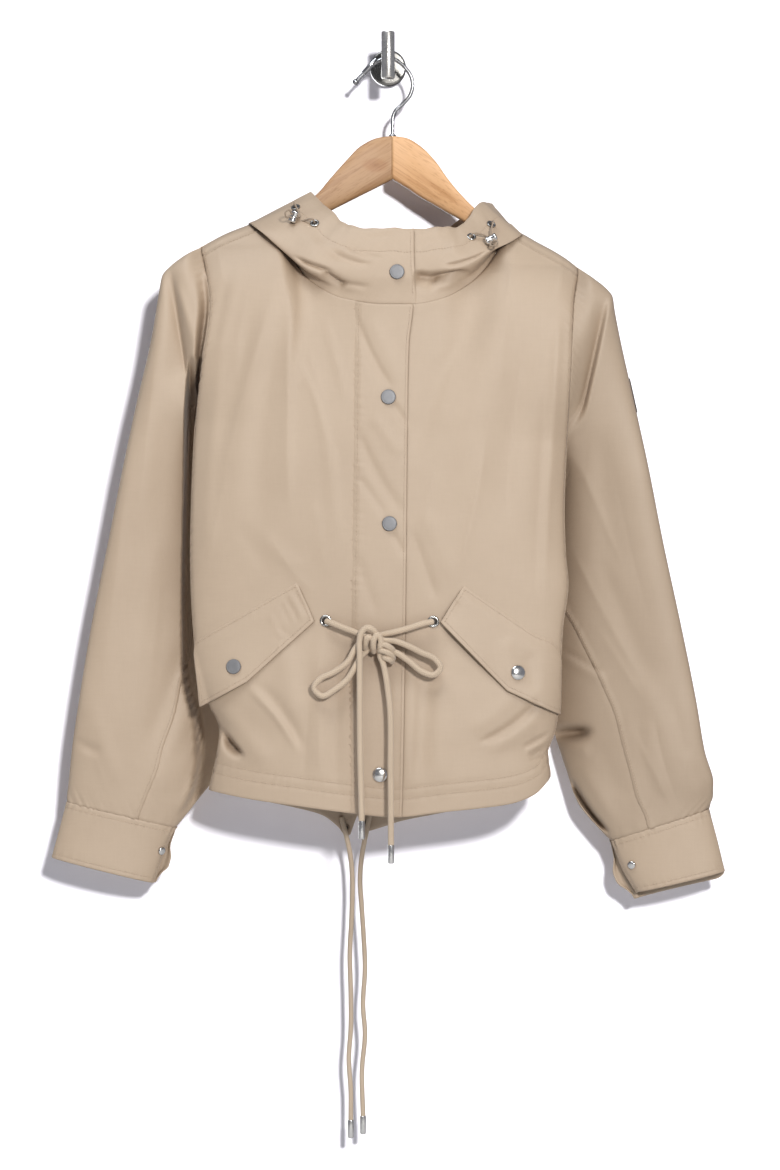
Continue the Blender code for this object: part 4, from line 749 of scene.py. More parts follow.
def flap_grid(corners, cols, rows, rise, round_end=0.0, level=0.0):
    """A flap on the front: held along its slanting top, lifting toward its free edge."""
    p = np.stack([corners["x"], corners["z"]], -1)
    bend = 0.42
    a = cols[:, None]
    top = mix(p[0], p[1], a) + np.array([0.0, round_end]) * np.exp(-((a - 0.1) / 0.11) ** 2)
    low = np.where(a < bend, mix(p[4], p[3], np.minimum(a / bend, 1)),
                   mix(p[3], p[2], np.maximum((a - bend) / (1 - bend), 0)))
    xz = mix(top[:, None], low[:, None], rows[None, :, None])
    x, z = xz[..., 0], xz[..., 1]
    # the free corner stays level where the front rolls away under it
    under = np.maximum(x, p[0, 0] + level * rows[None, :]) if level else x
    points = front_point(under, z) + front_normal(under, z) * (0.25 + 1.75 * smooth_step(rows / 0.22))[None, :, None]
    points[..., 0] += x - under
    points[..., 1] -= rise[:, None] * (rows ** 1.3)[None, :]
    return points



AGLET = table("r h", (0, 0.0), (2.5, 0.0), (3.0, -0.6), (3.0, -17.9), (2.4, -18.5), (0, -18.5))
WAIST_CORD, HEM_CORD, HOOD_CORD = 6.0, 5.0, 1.8

KNOT = dict(x=-14.0, y=-129.5, z=-587.0, rx=15.0, ry=6.5, rz=15.0)

WAIST_LEAD_R = table("x y z", (-61.0, -124.0, -567.0), (-55.0, -127.5, -569.0),
                     (-43.0, -128.0, -574.0), (-32.5, -128.5, -578.0))
WAIST_LEAD_L = table("x y z", (44.0, -124.5, -567.5), (36.0, -127.5, -569.0),
                     (20.0, -128.0, -574.0), (5.0, -129.0, -578.0))
WAIST_LOOP_R = table("x y z", (-31.0, -131.0, -592.0), (-40.0, -132.5, -607.0),
                     (-54.0, -132.0, -617.5), (-67.0, -131.0, -624.0), (-73.5, -131.0, -633.0),
                     (-66.0, -131.5, -641.0), (-52.0, -132.5, -634.0), (-41.0, -133.0, -625.0),
                     (-32.0, -133.0, -611.0))
WAIST_LOOP_L = table("x y z", (5.5, -131.5, -586.5), (19.0, -132.5, -591.0), (33.0, -132.0, -598.0),
                     (47.0, -131.5, -605.0), (52.0, -131.5, -613.0), (46.0, -131.5, -620.0),
                     (34.0, -132.0, -617.0), (20.0, -133.0, -606.0), (6.5, -133.5, -597.5))
WAIST_TAIL_R = table("x y z", (-24.5, -134.5, -605.5), (-28.0, -137.0, -640.0),
                     (-27.5, -137.5, -700.0), (-26.0, -135.0, -764.0))
WAIST_TAIL_L = table("x y z", (-5.5, -134.0, -607.0), (0.5, -137.0, -640.0),
                     (2.5, -138.0, -720.0), (3.0, -135.5, -788.0))
HEM_CORD_R = table("x y z", (-47.5, -34.5, -768.0), (-44.5, -35.0, -779.0), (-41.5, -34.0, -791.0), (-38.5, -32.0, -806.0), (-36.5, -32.5, -829.0),
                   (-37.0, -32.5, -866.0), (-39.0, -32.0, -907.0), (-38.0, -32.0, -947.0),
                   (-38.0, -32.0, -983.0), (-40.0, -32.0, -1013.0), (-38.0, -32.0, -1047.0),
                   (-38.0, -32.0, -1076.0))
HEM_CORD_L = table("x y z", (-18.0, -34.5, -764.0), (-20.5, -35.0, -775.0), (-23.0, -34.0, -787.0), (-26.5, -32.0, -806.0), (-28.5, -32.5, -830.0),
                   (-27.0, -32.5, -857.0), (-25.0, -32.0, -887.0), (-23.5, -32.0, -921.0),
                   (-25.5, -32.0, -960.0), (-23.5, -32.0, -988.0), (-26.5, -32.0, -1024.0),
                   (-25.5, -32.0, -1072.0))



# ------------------------------------------------------------ hanger
# One row per section out along each arm: top, underside, depth and thickness.
ARM_RIGHT = table(
    "x       top     low     y    thick",
    (4.2, -73.5, -118.0, -34, 13),
    (-10.0, -75.5, -125.5, -34.5, 13),
    (-27.5, -84.0, -134.5, -36.5, 13),
    (-43.8, -100.6, -143.0, -39, 13),
    (-58.0, -117.0, -150.5, -42, 13),
    (-71.2, -133.0, -157.5, -45, 13),
    (-90.0, -148.5, -168.0, -48.5, 12),
    (-108.6, -160.0, -178.0, -51.5, 11),
    (-144.8, -173.5, -192.0, -60, 11),
    (-178.0, -192.5, -209.0, -66.5, 10),
    (-200.0, -208.0, -220.0, -70.5, 9),
    (-207.0, -213.0, -218.0, -71.5, 6))
ARM_LEFT = table(
    "x       top     low     y    thick",
    (4.8, -73.5, -118.0, -34, 13),
    (18.0, -75.5, -126.0, -34.5, 13),
    (32.6, -84.0, -136.0, -36.5, 13),
    (48.8, -100.6, -145.5, -39, 13),
    (60.0, -117.0, -152.5, -42, 13),
    (73.2, -133.5, -160.0, -45, 13),
    (92.0, -152.5, -173.0, -48.5, 12),
    (121.0, -173.5, -192.0, -53, 11),
    (150.8, -190.0, -208.0, -61, 11),
    (178.9, -209.0, -225.0, -67, 9),
    (197.0, -226.0, -238.0, -71, 8),
    (204.0, -231.5, -236.5, -72, 6))



HOOK_Y = -34.0
HOOK_WIRE = 4.0
HANGER_HOOK = table(
    "x      z",
    (-33.0, -18.5), (-27.5, -12.4), (-21.0, -5.8), (-14.0, 0.4), (-6.7, 4.4), (1.5, 6.0),
    (10.2, 2.6), (18.6, -5.4), (23.6, -13.4), (25.0, -21.8), (22.4, -32.0), (14.2, -41.6),
    (7.6, -48.0), (5.0, -54.5), (4.6, -63.0), (4.5, -72.9))

PLATE = dict(r=18.5, thick=8.0)
STEM = dict(r=4.8, z=-1.6, end=-54.0)
PEG = dict(r=6.8, y=-56.0, low=-18.0, high=29.5)



SNAP = table("r h", (0, 2.0), (3.6, 2.0), (4.4, 2.5), (6.6, 2.3), (7.4, 1.2), (7.0, 0.0), (0, 0.0))
STUD = table("r h", (0, 2.6), (3.0, 2.6), (4.0, 2.0), (4.2, 0.0), (0, 0.0))



LOCK = table("r h", (0, 6.0), (3.2, 6.0), (4.2, 4.6), (3.4, 1.0), (3.4, -1.0),
             (4.2, -4.6), (3.2, -6.0), (0, -6.0))
HOOD_LOCKS = table("bearing up    ax   az",
                   (69.0, 0.865, 0.4, 1.0),
                   (-66.0, 0.68, 1.0, 0.5))


# ------------------------------------------------------------ mesh building
def unit(v):
    return v / np.maximum(np.linalg.norm(v, axis=-1, keepdims=True), 1e-9)


def smooth_step(q):
    q = np.clip(q, 0, 1)
    return q * q * (3 - 2 * q)


def grid_normals(points, outward):
    n = unit(np.cross(np.gradient(points, axis=0), np.gradient(points, axis=1)))
    flip = float(np.sum(n * np.asarray(outward, float))) < 0
    return (-n if flip else n), flip


def place(obj):
    bpy.context.scene.collection.objects.link(obj)
    return obj


def mesh_object(name, verts, faces, maps=None):
    mesh = bpy.data.meshes.new(name)
    mesh.from_pydata((np.asarray(verts, float) * MM).tolist(), [],
                     [tuple(int(v) for v in f) for f in faces])
    mesh.polygons.foreach_set("use_smooth", np.ones(len(mesh.polygons), bool))
    if maps is not None:
        corner = np.zeros(len(mesh.loops), np.int32)
        mesh.loops.foreach_get("vertex_index", corner)
        layer = mesh.uv_layers.new(name="run")
        layer.data.foreach_set("uv", np.asarray(maps, np.float32)[corner].ravel())
    mesh.validate()
    return place(bpy.data.objects.new(name, mesh))


def shell_parts(points, outward, wall):
    """A closed thin wall on a grid of outside points, with rounded edges."""
    cols, rows = points.shape[:2]
    n, flip = grid_normals(points, outward)
    inner = points - n * wall
    i, j = np.meshgrid(np.arange(cols - 1), np.arange(rows - 1), indexing="ij")
    a = (i * rows + j).ravel()
    quads = np.stack([a, a + rows, a + rows + 1, a + 1], -1)
    ring = np.concatenate([np.arange(cols) * rows,
                           (cols - 1) * rows + np.arange(1, rows),
                           np.arange(cols - 2, -1, -1) * rows + rows - 1,
                           np.arange(rows - 2, 0, -1)])
    ri, rj = ring // rows, ring % rows
    edge = points[ri, rj] - points[np.clip(ri, 1, cols - 2), np.clip(rj, 1, rows - 2)]
    side = n[ri, rj]
    edge = unit(edge - side * np.sum(edge * side, -1, keepdims=True))
    middle = (points[ri, rj] + inner[ri, rj]) / 2 + edge * wall / 2
    count = cols * rows
    k = np.arange(len(ring))
    nxt = np.roll(k, -1)
    rim = np.stack([ring[nxt], ring[k], 2 * count + k, 2 * count + nxt], -1)
    rim_in = np.stack([2 * count + nxt, 2 * count + k, count + ring[k], count + ring[nxt]], -1)
    faces = np.concatenate([quads, quads[:, ::-1] + count, rim, rim_in])
    if flip:
        faces = faces[:, ::-1]
    return np.concatenate([points.reshape(-1, 3), inner.reshape(-1, 3), middle]), faces


def joined(parts):
    verts, faces, base = [], [], 0
    for v, f in parts:
        verts.append(v)
        faces.extend([[int(k) + base for k in face] for face in f])
        base += len(v)
    return np.concatenate(verts), faces


def frames(path):
    """Directions along and across a line, turning as little as they can."""
    t = unit(np.gradient(path, axis=0))
    first = np.cross(t[0], (0.0, 0.0, 1.0) if abs(t[0][2]) < 0.8 else (0.0, 1.0, 0.0))
    across = [unit(first)]
    for k in range(1, len(path)):
        v = across[-1] - t[k] * np.dot(across[-1], t[k])
        across.append(unit(v))
    across = np.array(across)
    return t, across, np.cross(t, across)


def tube_parts(path, radius, sides=16, flat=1.0):
    """A round bar along a line with domed ends; flat squeezes it front to back."""
    path = np.asarray(path, float)
    t, u, v = frames(path)
    r = np.broadcast_to(np.asarray(radius, float), (len(path),))
    dome = np.radians([80, 50, 20])
    stations = [(path[0] - t[0] * r[0] * math.sin(q) * 0.6, u[0], v[0], r[0] * math.cos(q)) for q in dome]
    stations += [(path[k], u[k], v[k], r[k]) for k in range(len(path))]
    stations += [(path[-1] + t[-1] * r[-1] * math.sin(q) * 0.6, u[-1], v[-1], r[-1] * math.cos(q))
                 for q in dome[::-1]]
    turn = np.linspace(0, 2 * math.pi, sides, endpoint=False)
    verts, run, total = [], [], 0.0
    last = stations[0][0]
    for c, a, b, w in stations:
        total += float(np.linalg.norm(c - last))
        last = c
        spokes = np.cos(turn)[:, None] * a + np.sin(turn)[:, None] * b
        spokes = spokes * np.array([1.0, flat, 1.0])
        verts.append(c + w * spokes)
        run.append(np.stack([np.full(sides, total), turn], -1))
    faces = []
    for k in range(len(stations) - 1):
        for s in range(sides):
            n = (s + 1) % sides
            faces.append((k * sides + s, k * sides + n, (k + 1) * sides + n, (k + 1) * sides + s))
    faces.append(tuple(range(sides))[::-1])
    faces.append(tuple((len(stations) - 1) * sides + s for s in range(sides)))
    return np.concatenate(verts), faces, np.concatenate(run)


def lathe_parts(profile, origin, axis, sides=40):
    """A turned piece from rows of radius and height, top to foot."""
    axis = unit(np.asarray(axis, float))
    a = unit(np.cross(axis, (0.0, 0.0, 1.0) if abs(axis[2]) < 0.9 else (1.0, 0.0, 0.0)))
    b = np.cross(axis, a)
    turn = np.linspace(0, 2 * math.pi, sides, endpoint=False)
    ring = np.cos(turn)[:, None] * a + np.sin(turn)[:, None] * b
    verts, faces = [np.asarray(origin, float) + axis * profile[0][1]], []
    rows = []
    for r, h in profile[1:-1]:
        rows.append(1 + sides * len(rows))
        verts.extend(np.asarray(origin, float) + axis * h + ring * r)
    verts.append(np.asarray(origin, float) + axis * profile[-1][1])
    last = len(verts) - 1
    for s in range(sides):
        n = (s + 1) % sides
        faces.append((0, rows[0] + s, rows[0] + n))
        for p, q in zip(rows, rows[1:]):
            faces.append((p + s, q + s, q + n, p + n))
        faces.append((last, rows[-1] + n, rows[-1] + s))
    return np.array(verts, float), faces


def torus_parts(origin, axis, radius, wire, stretch=1.0, around=36, sides=12):
    axis = unit(np.asarray(axis, float))
    a = unit(np.cross(axis, (0.0, 0.0, 1.0) if abs(axis[2]) < 0.9 else (1.0, 0.0, 0.0)))
    b = np.cross(axis, a)
    verts, faces = [], []
    for k in range(around):
        q = 2 * math.pi * k / around
        out = math.cos(q) * a + math.sin(q) * b
        for s in range(sides):
            w = 2 * math.pi * s / sides
            verts.append(np.asarray(origin, float) + out * (radius + wire * math.cos(w))
                         + axis * wire * stretch * math.sin(w))
    for k in range(around):
        for s in range(sides):
            k2, s2 = (k + 1) % around, (s + 1) % sides
            faces.append((k * sides + s, k2 * sides + s, k2 * sides + s2, k * sides + s2))
    return np.array(verts), faces


def refine(path, spacing):
    """Even points on a smooth curve through the given points."""
    p = np.asarray(path, float)
    at = np.concatenate([[0], np.cumsum(np.linalg.norm(np.diff(p, axis=0), axis=1))])
    tangent = np.gradient(p, at, axis=0)
    n = max(2, int(round(at[-1] / spacing)))
    d = np.linspace(0, at[-1], n + 1)
    i = np.clip(np.searchsorted(at, d, side="right") - 1, 0, len(p) - 2)
    h = (at[i + 1] - at[i])[:, None]
    q = ((d - at[i])[:, None]) / h
    return ((1 + 2 * q) * (1 - q) ** 2 * p[i] + q * (1 - q) ** 2 * h * tangent[i]
            + q * q * (3 - 2 * q) * p[i + 1] + q * q * (q - 1) * h * tangent[i + 1])


# ------------------------------------------------------------ working on a grid
def distance_from(points, edge):
    """Length on the cloth from one edge of the grid, along its rows or columns."""
    axis = 0 if edge in ("first", "last") else 1
    step = np.linalg.norm(np.diff(points, axis=axis), axis=-1)
    zero = np.zeros_like(np.take(step, [0], axis))
    run = np.concatenate([zero, np.cumsum(step, axis)], axis)
    if edge in ("last", "foot"):
        run = np.take(run, [-1], axis) - run
    return run


def run_along(points, edge):
    axis = 1 if edge in ("first", "last") else 0
    step = np.linalg.norm(np.diff(points, axis=axis), axis=-1)
    zero = np.zeros_like(np.take(step, [0], axis))
    return np.concatenate([zero, np.cumsum(step, axis)], axis)


def ripple(s, pitch, seed=0.0):
    """An uneven wave along a seam."""
    k = 2 * math.pi / pitch
    return (np.sin(k * s + 1.3 * np.sin(k * s * 0.23 + seed) + seed)
            * (0.65 + 0.35 * np.sin(k * s * 0.137 + 2.1 * seed + 0.7)))


def groove(points, outward, edge, rows):
    """Sew lines at distances from an edge: columns at depth width pucker pitch reach."""
    n = grid_normals(points, outward)[0]
    off, s = distance_from(points, edge), run_along(points, edge)
    move = np.zeros(points.shape[:2])
    for k, (at, depth, width, pucker, pitch, reach) in enumerate(rows):
        move -= depth * np.exp(-((off - at) / width) ** 2)
        move += pucker * np.exp(-((off - at) / reach) ** 2) * ripple(s, pitch, 1.7 * k + at)
    return points + n * move[..., None]


def inset(points, edge, at):
    """Grid places (column, row) of the line that runs at a distance from an edge."""
    off = distance_from(points, edge)
    cols, rows = off.shape
    if edge in ("first", "last"):
        order = slice(None) if edge == "first" else slice(None, None, -1)
        index = np.arange(cols)[order]
        return np.stack([[np.interp(at, off[order, j], index), j] for j in range(rows)])
    order = slice(None) if edge == "top" else slice(None, None, -1)
    index = np.arange(rows)[order]
    return np.stack([[i, np.interp(at, off[i, order], index)] for i in range(cols)])


def sample(values, spots):
    i = np.clip(spots[:, 0], 0, values.shape[0] - 1.001)
    j = np.clip(spots[:, 1], 0, values.shape[1] - 1.001)
    a, b = i.astype(int), j.astype(int)
    p, q = (i - a)[:, None], (j - b)[:, None]
    return ((values[a, b] * (1 - p) + values[a + 1, b] * p) * (1 - q)
            + (values[a, b + 1] * (1 - p) + values[a + 1, b + 1] * p) * q)


def stitch_parts(line, normal, pitch=3.1, length=2.15, radius=0.3, skip=(0.0, 0.0)):
    """One bar for each stitch along a line that lies on the cloth."""
    at = np.concatenate([[0], np.cumsum(np.linalg.norm(np.diff(line, axis=0), axis=1))])
    start, stop = skip[0], at[-1] - skip[1]
    if stop - start < pitch:
        return []
    count = int((stop - start) / pitch)
    mids = start + (np.arange(count) + 0.5) * (stop - start) / count
    read = lambda d, v: np.stack([np.interp(d, at, v[:, c]) for c in range(3)], -1)
    p0, pm, p1 = read(mids - length / 2, line), read(mids, line), read(mids + length / 2, line)
    n = unit(read(mids, normal))
    t = unit(p1 - p0)
    b = np.cross(n, t)
    verts = np.stack([p0 - n * 0.1,
                      mix(p0, pm, 0.35) + n * radius * 1.1, mix(p0, pm, 0.35) + b * radius,
                      mix(p0, pm, 0.35) - n * radius, mix(p0, pm, 0.35) - b * radius,
                      mix(p1, pm, 0.35) + n * radius * 1.1, mix(p1, pm, 0.35) + b * radius,
                      mix(p1, pm, 0.35) - n * radius, mix(p1, pm, 0.35) - b * radius,
                      p1 - n * 0.1], 1)
    one = [(0, 2, 1), (0, 3, 2), (0, 4, 3), (0, 1, 4),
           (1, 2, 6, 5), (2, 3, 7, 6), (3, 4, 8, 7), (4, 1, 5, 8),
           (9, 5, 6), (9, 6, 7), (9, 7, 8), (9, 8, 5)]
    faces = [[v + 10 * k for v in f] for k in range(count) for f in one]
    return [(verts.reshape(-1, 3), faces)]


# ------------------------------------------------------------ materials
class Nodes:
    """Short names for building a shader."""

    def __init__(self, name):
        self.material = bpy.data.materials.new(name)
        self.material.use_nodes = True
        self.tree = self.material.node_tree
        self.shader = self.tree.nodes["Principled BSDF"]

    def add(self, kind, **values):
        node = self.tree.nodes.new(kind)
        for key, value in values.items():
            setattr(node, key, value)
        return node

    def link(self, a, b):
        self.tree.links.new(a, b)

    def coords(self, scale=(1, 1, 1), turn=(0, 0, 0), source=None):
        if source is None:
            source = self.add("ShaderNodeTexCoord").outputs["Object"]
        mapping = self.add("ShaderNodeMapping", vector_type="TEXTURE")
        mapping.inputs["Scale"].default_value = tuple(1 / v for v in scale)
        mapping.inputs["Rotation"].default_value = turn
        self.link(source, mapping.inputs["Vector"])
        return mapping.outputs["Vector"]

    def noise(self, vector, scale, detail=3.0, rough=0.5):
        node = self.add("ShaderNodeTexNoise")
        node.inputs["Scale"].default_value = scale
        node.inputs["Detail"].default_value = detail
        node.inputs["Roughness"].default_value = rough
        self.link(vector, node.inputs["Vector"])
        return node.outputs["Fac"]

    def wave(self, vector, scale, direction="X", distortion=0.0, detail=0.0):
        node = self.add("ShaderNodeTexWave", bands_direction=direction)
        node.inputs["Scale"].default_value = scale
        node.inputs["Distortion"].default_value = distortion
        node.inputs["Detail"].default_value = detail
        self.link(vector, node.inputs["Vector"])
        return node.outputs["Fac"]

    def ramp(self, fac, *stops):
        node = self.add("ShaderNodeValToRGB")
        node.color_ramp.interpolation = "EASE"
        while len(node.color_ramp.elements) < len(stops):
            node.color_ramp.elements.new(0.5)
        for element, (at, colour) in zip(node.color_ramp.elements, stops):
            element.position = at
            element.color = (*colour, 1) if len(colour) == 3 else colour
        self.link(fac, node.inputs["Fac"])
        return node.outputs["Color"]

    def span(self, value, low, high, start=0.0, stop=1.0):
        node = self.add("ShaderNodeMapRange")
        node.inputs["From Min"].default_value = start
        node.inputs["From Max"].default_value = stop
        node.inputs["To Min"].default_value = low
        node.inputs["To Max"].default_value = high
        self.link(value, node.inputs["Value"])
        return node.outputs["Result"]

    def math(self, kind, a, b):
        node = self.add("ShaderNodeMath", operation=kind)
        for socket, v in zip(node.inputs, (a, b)):
            if isinstance(v, (int, float)):
                socket.default_value = v
            else:
                self.link(v, socket)
        return node.outputs["Value"]

    def blend(self, fac, a, b, kind="MIX"):
        node = self.add("ShaderNodeMix", data_type="RGBA", blend_type=kind)
        for socket, v in ((node.inputs[0], fac), (node.inputs[6], a), (node.inputs[7], b)):
            if isinstance(v, (int, float)):
                socket.default_value = v
            elif isinstance(v, tuple):
                socket.default_value = (*v, 1)
            else:
                self.link(v, socket)
        return node.outputs[2]

    def bump(self, height, strength, distance):
        node = self.add("ShaderNodeBump")
        node.inputs["Strength"].default_value = strength
        node.inputs["Distance"].default_value = distance
        self.link(height, node.inputs["Height"])
        self.link(node.outputs["Normal"], self.shader.inputs["Normal"])

    def set(self, **values):
        for key, value in values.items():
            socket = self.shader.inputs[key.replace("_", " ")]
            if isinstance(value, (int, float)):
                socket.default_value = value
            elif isinstance(value, tuple):
                socket.default_value = (*value, 1)
            else:
                self.link(value, socket)


CLOTH_TINT = (0.440, 0.334, 0.237)


def shade(colour, by, warm=0.0):
    return tuple(c * by * w for c, w in zip(colour, (1 + warm, 1.0, 1 - warm)))


def cloth_material(name, tint=CLOTH_TINT, grain=0.0):
    """Tight plain weave: even colour, faint slubs, soft sheen, and painted shade that darkens the colour in folds and
    gaps.
    """
    m = Nodes(name)
    where = m.coords(turn=(0, grain, 0))
    broad = m.noise(where, 9.0, 3.0, 0.55)
    colour = m.ramp(broad, (0.3, shade(tint, 0.965, 0.006)), (0.7, shade(tint, 1.03, -0.004)))
    slub = m.noise(m.coords((60, 60, 900), (0, grain, 0)), 1.0, 2.0, 0.6)
    slub_across = m.noise(m.coords((900, 60, 60), (0, grain, 0)), 1.0, 2.0, 0.6)
    threads = m.math("ADD", m.math("MULTIPLY", slub, 0.5), m.math("MULTIPLY", slub_across, 0.5))
    tone = m.ramp(threads, (0.35, (0.975, 0.973, 0.97)), (0.65, (1.0, 1.0, 1.0)))
    colour = m.blend(1.0, colour, tone, "MULTIPLY")
    # painted shade: the colour is darkened wherever nearby cloth closes a spot in, in folds, gaps and under other
    # pieces
    near = m.add("ShaderNodeAmbientOcclusion", samples=6)
    near.inputs["Distance"].default_value = 0.06
    painted_fold_shade = m.ramp(near.outputs["AO"], (0.0, (0.24, 0.18, 0.135)), (0.5, (0.80, 0.765, 0.73)), (0.82, (1.0, 1.0, 1.0)))
    colour = m.blend(1.0, colour, painted_fold_shade, "MULTIPLY")
    warp = m.wave(where, 330.0, "X", 0.6, 1.0)
    weft = m.wave(where, 330.0, "Z", 0.6, 1.0)
    weave = m.math("ADD", m.math("MULTIPLY", warp, 0.5), m.math("MULTIPLY", weft, 0.5))
    crinkle = m.noise(where, 55.0, 4.0, 0.6)
    height = m.math("ADD", m.math("MULTIPLY", weave, 0.25), m.math("MULTIPLY", crinkle, 0.9))
    m.bump(height, 0.10, 0.0008)
    rough = m.span(broad, 0.60, 0.64)
    m.set(Base_Color=colour, Roughness=rough, Specular_IOR_Level=0.75, Sheen_Weight=0.05,
          Sheen_Roughness=0.5)
    return m.material


def cord_material(name, tint, pitch):
    """Braided cord: slanting strands both ways round, with painted shade between the strands."""
    m = Nodes(name)
    run = m.add("ShaderNodeUVMap", uv_map="run").outputs["UV"]
    parts = m.add("ShaderNodeSeparateXYZ")
    m.link(run, parts.inputs["Vector"])
    along_it = m.math("MULTIPLY", parts.outputs["X"], 2 * math.pi / pitch)
    round_it = m.math("MULTIPLY", parts.outputs["Y"], 6.0)
    one = m.math("SINE", m.math("ADD", along_it, round_it), 0.0)
    two = m.math("SINE", m.math("SUBTRACT", along_it, round_it), 0.0)
    braid = m.span(m.math("MAXIMUM", one, two), 0.0, 1.0, -1.0, 1.0)
    where = m.coords()
    fuzz = m.noise(where, 700.0, 3.0, 0.6)
    broad = m.noise(where, 40.0, 2.0, 0.5)
    # painted shade: the colour darkens where the braid dips between strands
    colour = m.ramp(braid, (0.25, shade(tint, 0.80, 0.02)), (0.75, shade(tint, 1.04)))
    tone = m.ramp(broad, (0.3, (0.95, 0.945, 0.94)), (0.7, (1.0, 1.0, 1.0)))
    colour = m.blend(1.0, colour, tone, "MULTIPLY")
    height = m.math("ADD", m.math("MULTIPLY", braid, 0.8), m.math("MULTIPLY", fuzz, 0.2))
    m.bump(height, 0.45, 0.0005)
    m.set(Base_Color=colour, Roughness=m.span(fuzz, 0.72, 0.9), Sheen_Weight=0.2, Sheen_Roughness=0.5)
    return m.material


def thread_material(name, tint):
    m = Nodes(name)
    where = m.coords()
    twist = m.noise(where, 1500.0, 2.0, 0.5)
    broad = m.noise(where, 60.0, 2.0, 0.5)
    colour = m.ramp(broad, (0.3, shade(tint, 0.92)), (0.7, shade(tint, 1.05)))
    m.bump(twist, 0.3, 0.0002)
    m.set(Base_Color=colour, Roughness=m.span(twist, 0.5, 0.65), Sheen_Weight=0.1)
    return m.material


def metal_material(name, tint, rough, brush=(1, 1, 1), scale=600.0, depth=0.00006, metal=1.0, deep=None):
    """Plated metal with fine polishing lines and a little handling haze; with deep given, the colour is darkened near
    the wall as a painted dark reflection.
    """
    m = Nodes(name)
    fine = m.noise(m.coords(brush), scale, 3.0, 0.55)
    haze = m.noise(m.coords(), 130.0, 3.0, 0.6)
    colour = m.ramp(haze, (0.3, shade(tint, 0.92)), (0.7, shade(tint, 1.03)))
    # painted dark reflection: by depth, the colour runs from dark at the wall plate to full colour further out
    if deep is not None:
        split = m.add("ShaderNodeSeparateXYZ")
        m.link(m.add("ShaderNodeTexCoord").outputs["Object"], split.inputs["Vector"])
        (near, dark), (far, light) = deep
        tone = m.ramp(m.span(split.outputs["Y"], 0.0, 1.0, -near, -far), (0.0, (dark,) * 3), (1.0, (light,) * 3))
        colour = m.blend(1.0, colour, tone, "MULTIPLY")
    m.bump(fine, 0.12, depth)
    spread = m.math("ADD", m.span(fine, -0.03, 0.05), m.span(haze, rough - 0.03, rough + 0.05))
    m.set(Base_Color=colour, Metallic=metal, Roughness=spread)
    return m.material


def wood_material(name, turn, tone, knot=None):
    """Sanded pale wood: long grain, darker growth lines, fine pores; tone scales the whole colour, painting an arm in
    shade or in light.
    """
    m = Nodes(name)
    grain = m.coords((3.0, 16.0, 34.0), (0, turn, 0))
    warp = m.noise(grain, 1.0, 4.0, 0.55)
    lines = m.coords((1.5, 30.0, 62.0), (0, turn, 0))
    bands = m.noise(lines, 2.2, 5.0, 0.62)
    pores = m.noise(m.coords((30.0, 700.0, 900.0), (0, turn, 0)), 1.0, 2.0, 0.5)
    base = m.ramp(warp, (0.25, shade((0.42, 0.225, 0.10), tone)), (0.5, shade((0.52, 0.305, 0.155), tone)),
                  (0.78, shade((0.60, 0.38, 0.215), tone)))
    stripe = m.ramp(bands, (0.36, (0.78, 0.70, 0.62)), (0.52, (1.0, 1.0, 1.0)), (0.75, (0.95, 0.92, 0.88)))
    colour = m.blend(0.8, base, stripe, "MULTIPLY")
    speck = m.ramp(pores, (0.34, (0.80, 0.74, 0.68)), (0.44, (1.0, 1.0, 1.0)))
    colour = m.blend(0.7, colour, speck, "MULTIPLY")
    if knot is not None:
        spot = m.add("ShaderNodeTexCoord").outputs["Object"]
        away = m.add("ShaderNodeVectorMath", operation="DISTANCE")
        squash = m.add("ShaderNodeMapping")
        squash.inputs["Scale"].default_value = (0.55, 0.3, 1.0)
        m.link(spot, squash.inputs["Vector"])
        m.link(squash.outputs["Vector"], away.inputs[0])
        away.inputs[1].default_value = (knot[0] * 0.55, knot[1] * 0.3, knot[2])
        wobble = m.math("ADD", away.outputs["Value"], m.span(bands, -0.0025, 0.0025))
        rings = m.ramp(m.span(wobble, 0.0, 1.0, 0.0, 0.009),
                       (0.0, (0.52, 0.40, 0.32)), (0.16, (0.80, 0.68, 0.58)), (0.5, (0.90, 0.80, 0.72)),
                       (1.0, (1.0, 1.0, 1.0)))
        colour = m.blend(1.0, colour, rings, "MULTIPLY")
    height = m.math("ADD", m.math("MULTIPLY", bands, 0.5), m.math("MULTIPLY", pores, 0.5))
    m.bump(height, 0.12, 0.0004)
    m.set(Base_Color=colour, Roughness=m.span(bands, 0.42, 0.56), Specular_IOR_Level=0.4)
    return m.material


SHELL = cloth_material("shell_cloth")
SHELL_BIAS = cloth_material("shell_cloth_bias", shade(CLOTH_TINT, 1.0, 0.004), 0.55)
# painted shade: a darker copy of the shell cloth for the wearer's left sleeve, standing in for the shade that sleeve
# lies in
SHELL_SHADED_SLEEVE = cloth_material("shell_cloth_painted_shade_sleeve_l", shade(CLOTH_TINT, 0.89, 0.006))
THREAD = thread_material("thread", (0.47, 0.36, 0.255))
CORD = cord_material("waist_cord", (0.535, 0.425, 0.312), 2.6)
CORD_THIN = cord_material("hem_cord", (0.52, 0.415, 0.31), 2.2)
ELASTIC = cord_material("hood_elastic", (0.33, 0.25, 0.18), 1.4)
NICKEL = metal_material("nickel", (0.72, 0.71, 0.69), 0.20)
SATIN = metal_material("snap_face", (0.20, 0.20, 0.207), 0.46, (1, 1, 14), 300.0, metal=0.3)
EYELET = metal_material("eyelet_metal", (0.46, 0.45, 0.43), 0.26)
SEWN = thread_material("sewn_eyelet", (0.20, 0.145, 0.10))
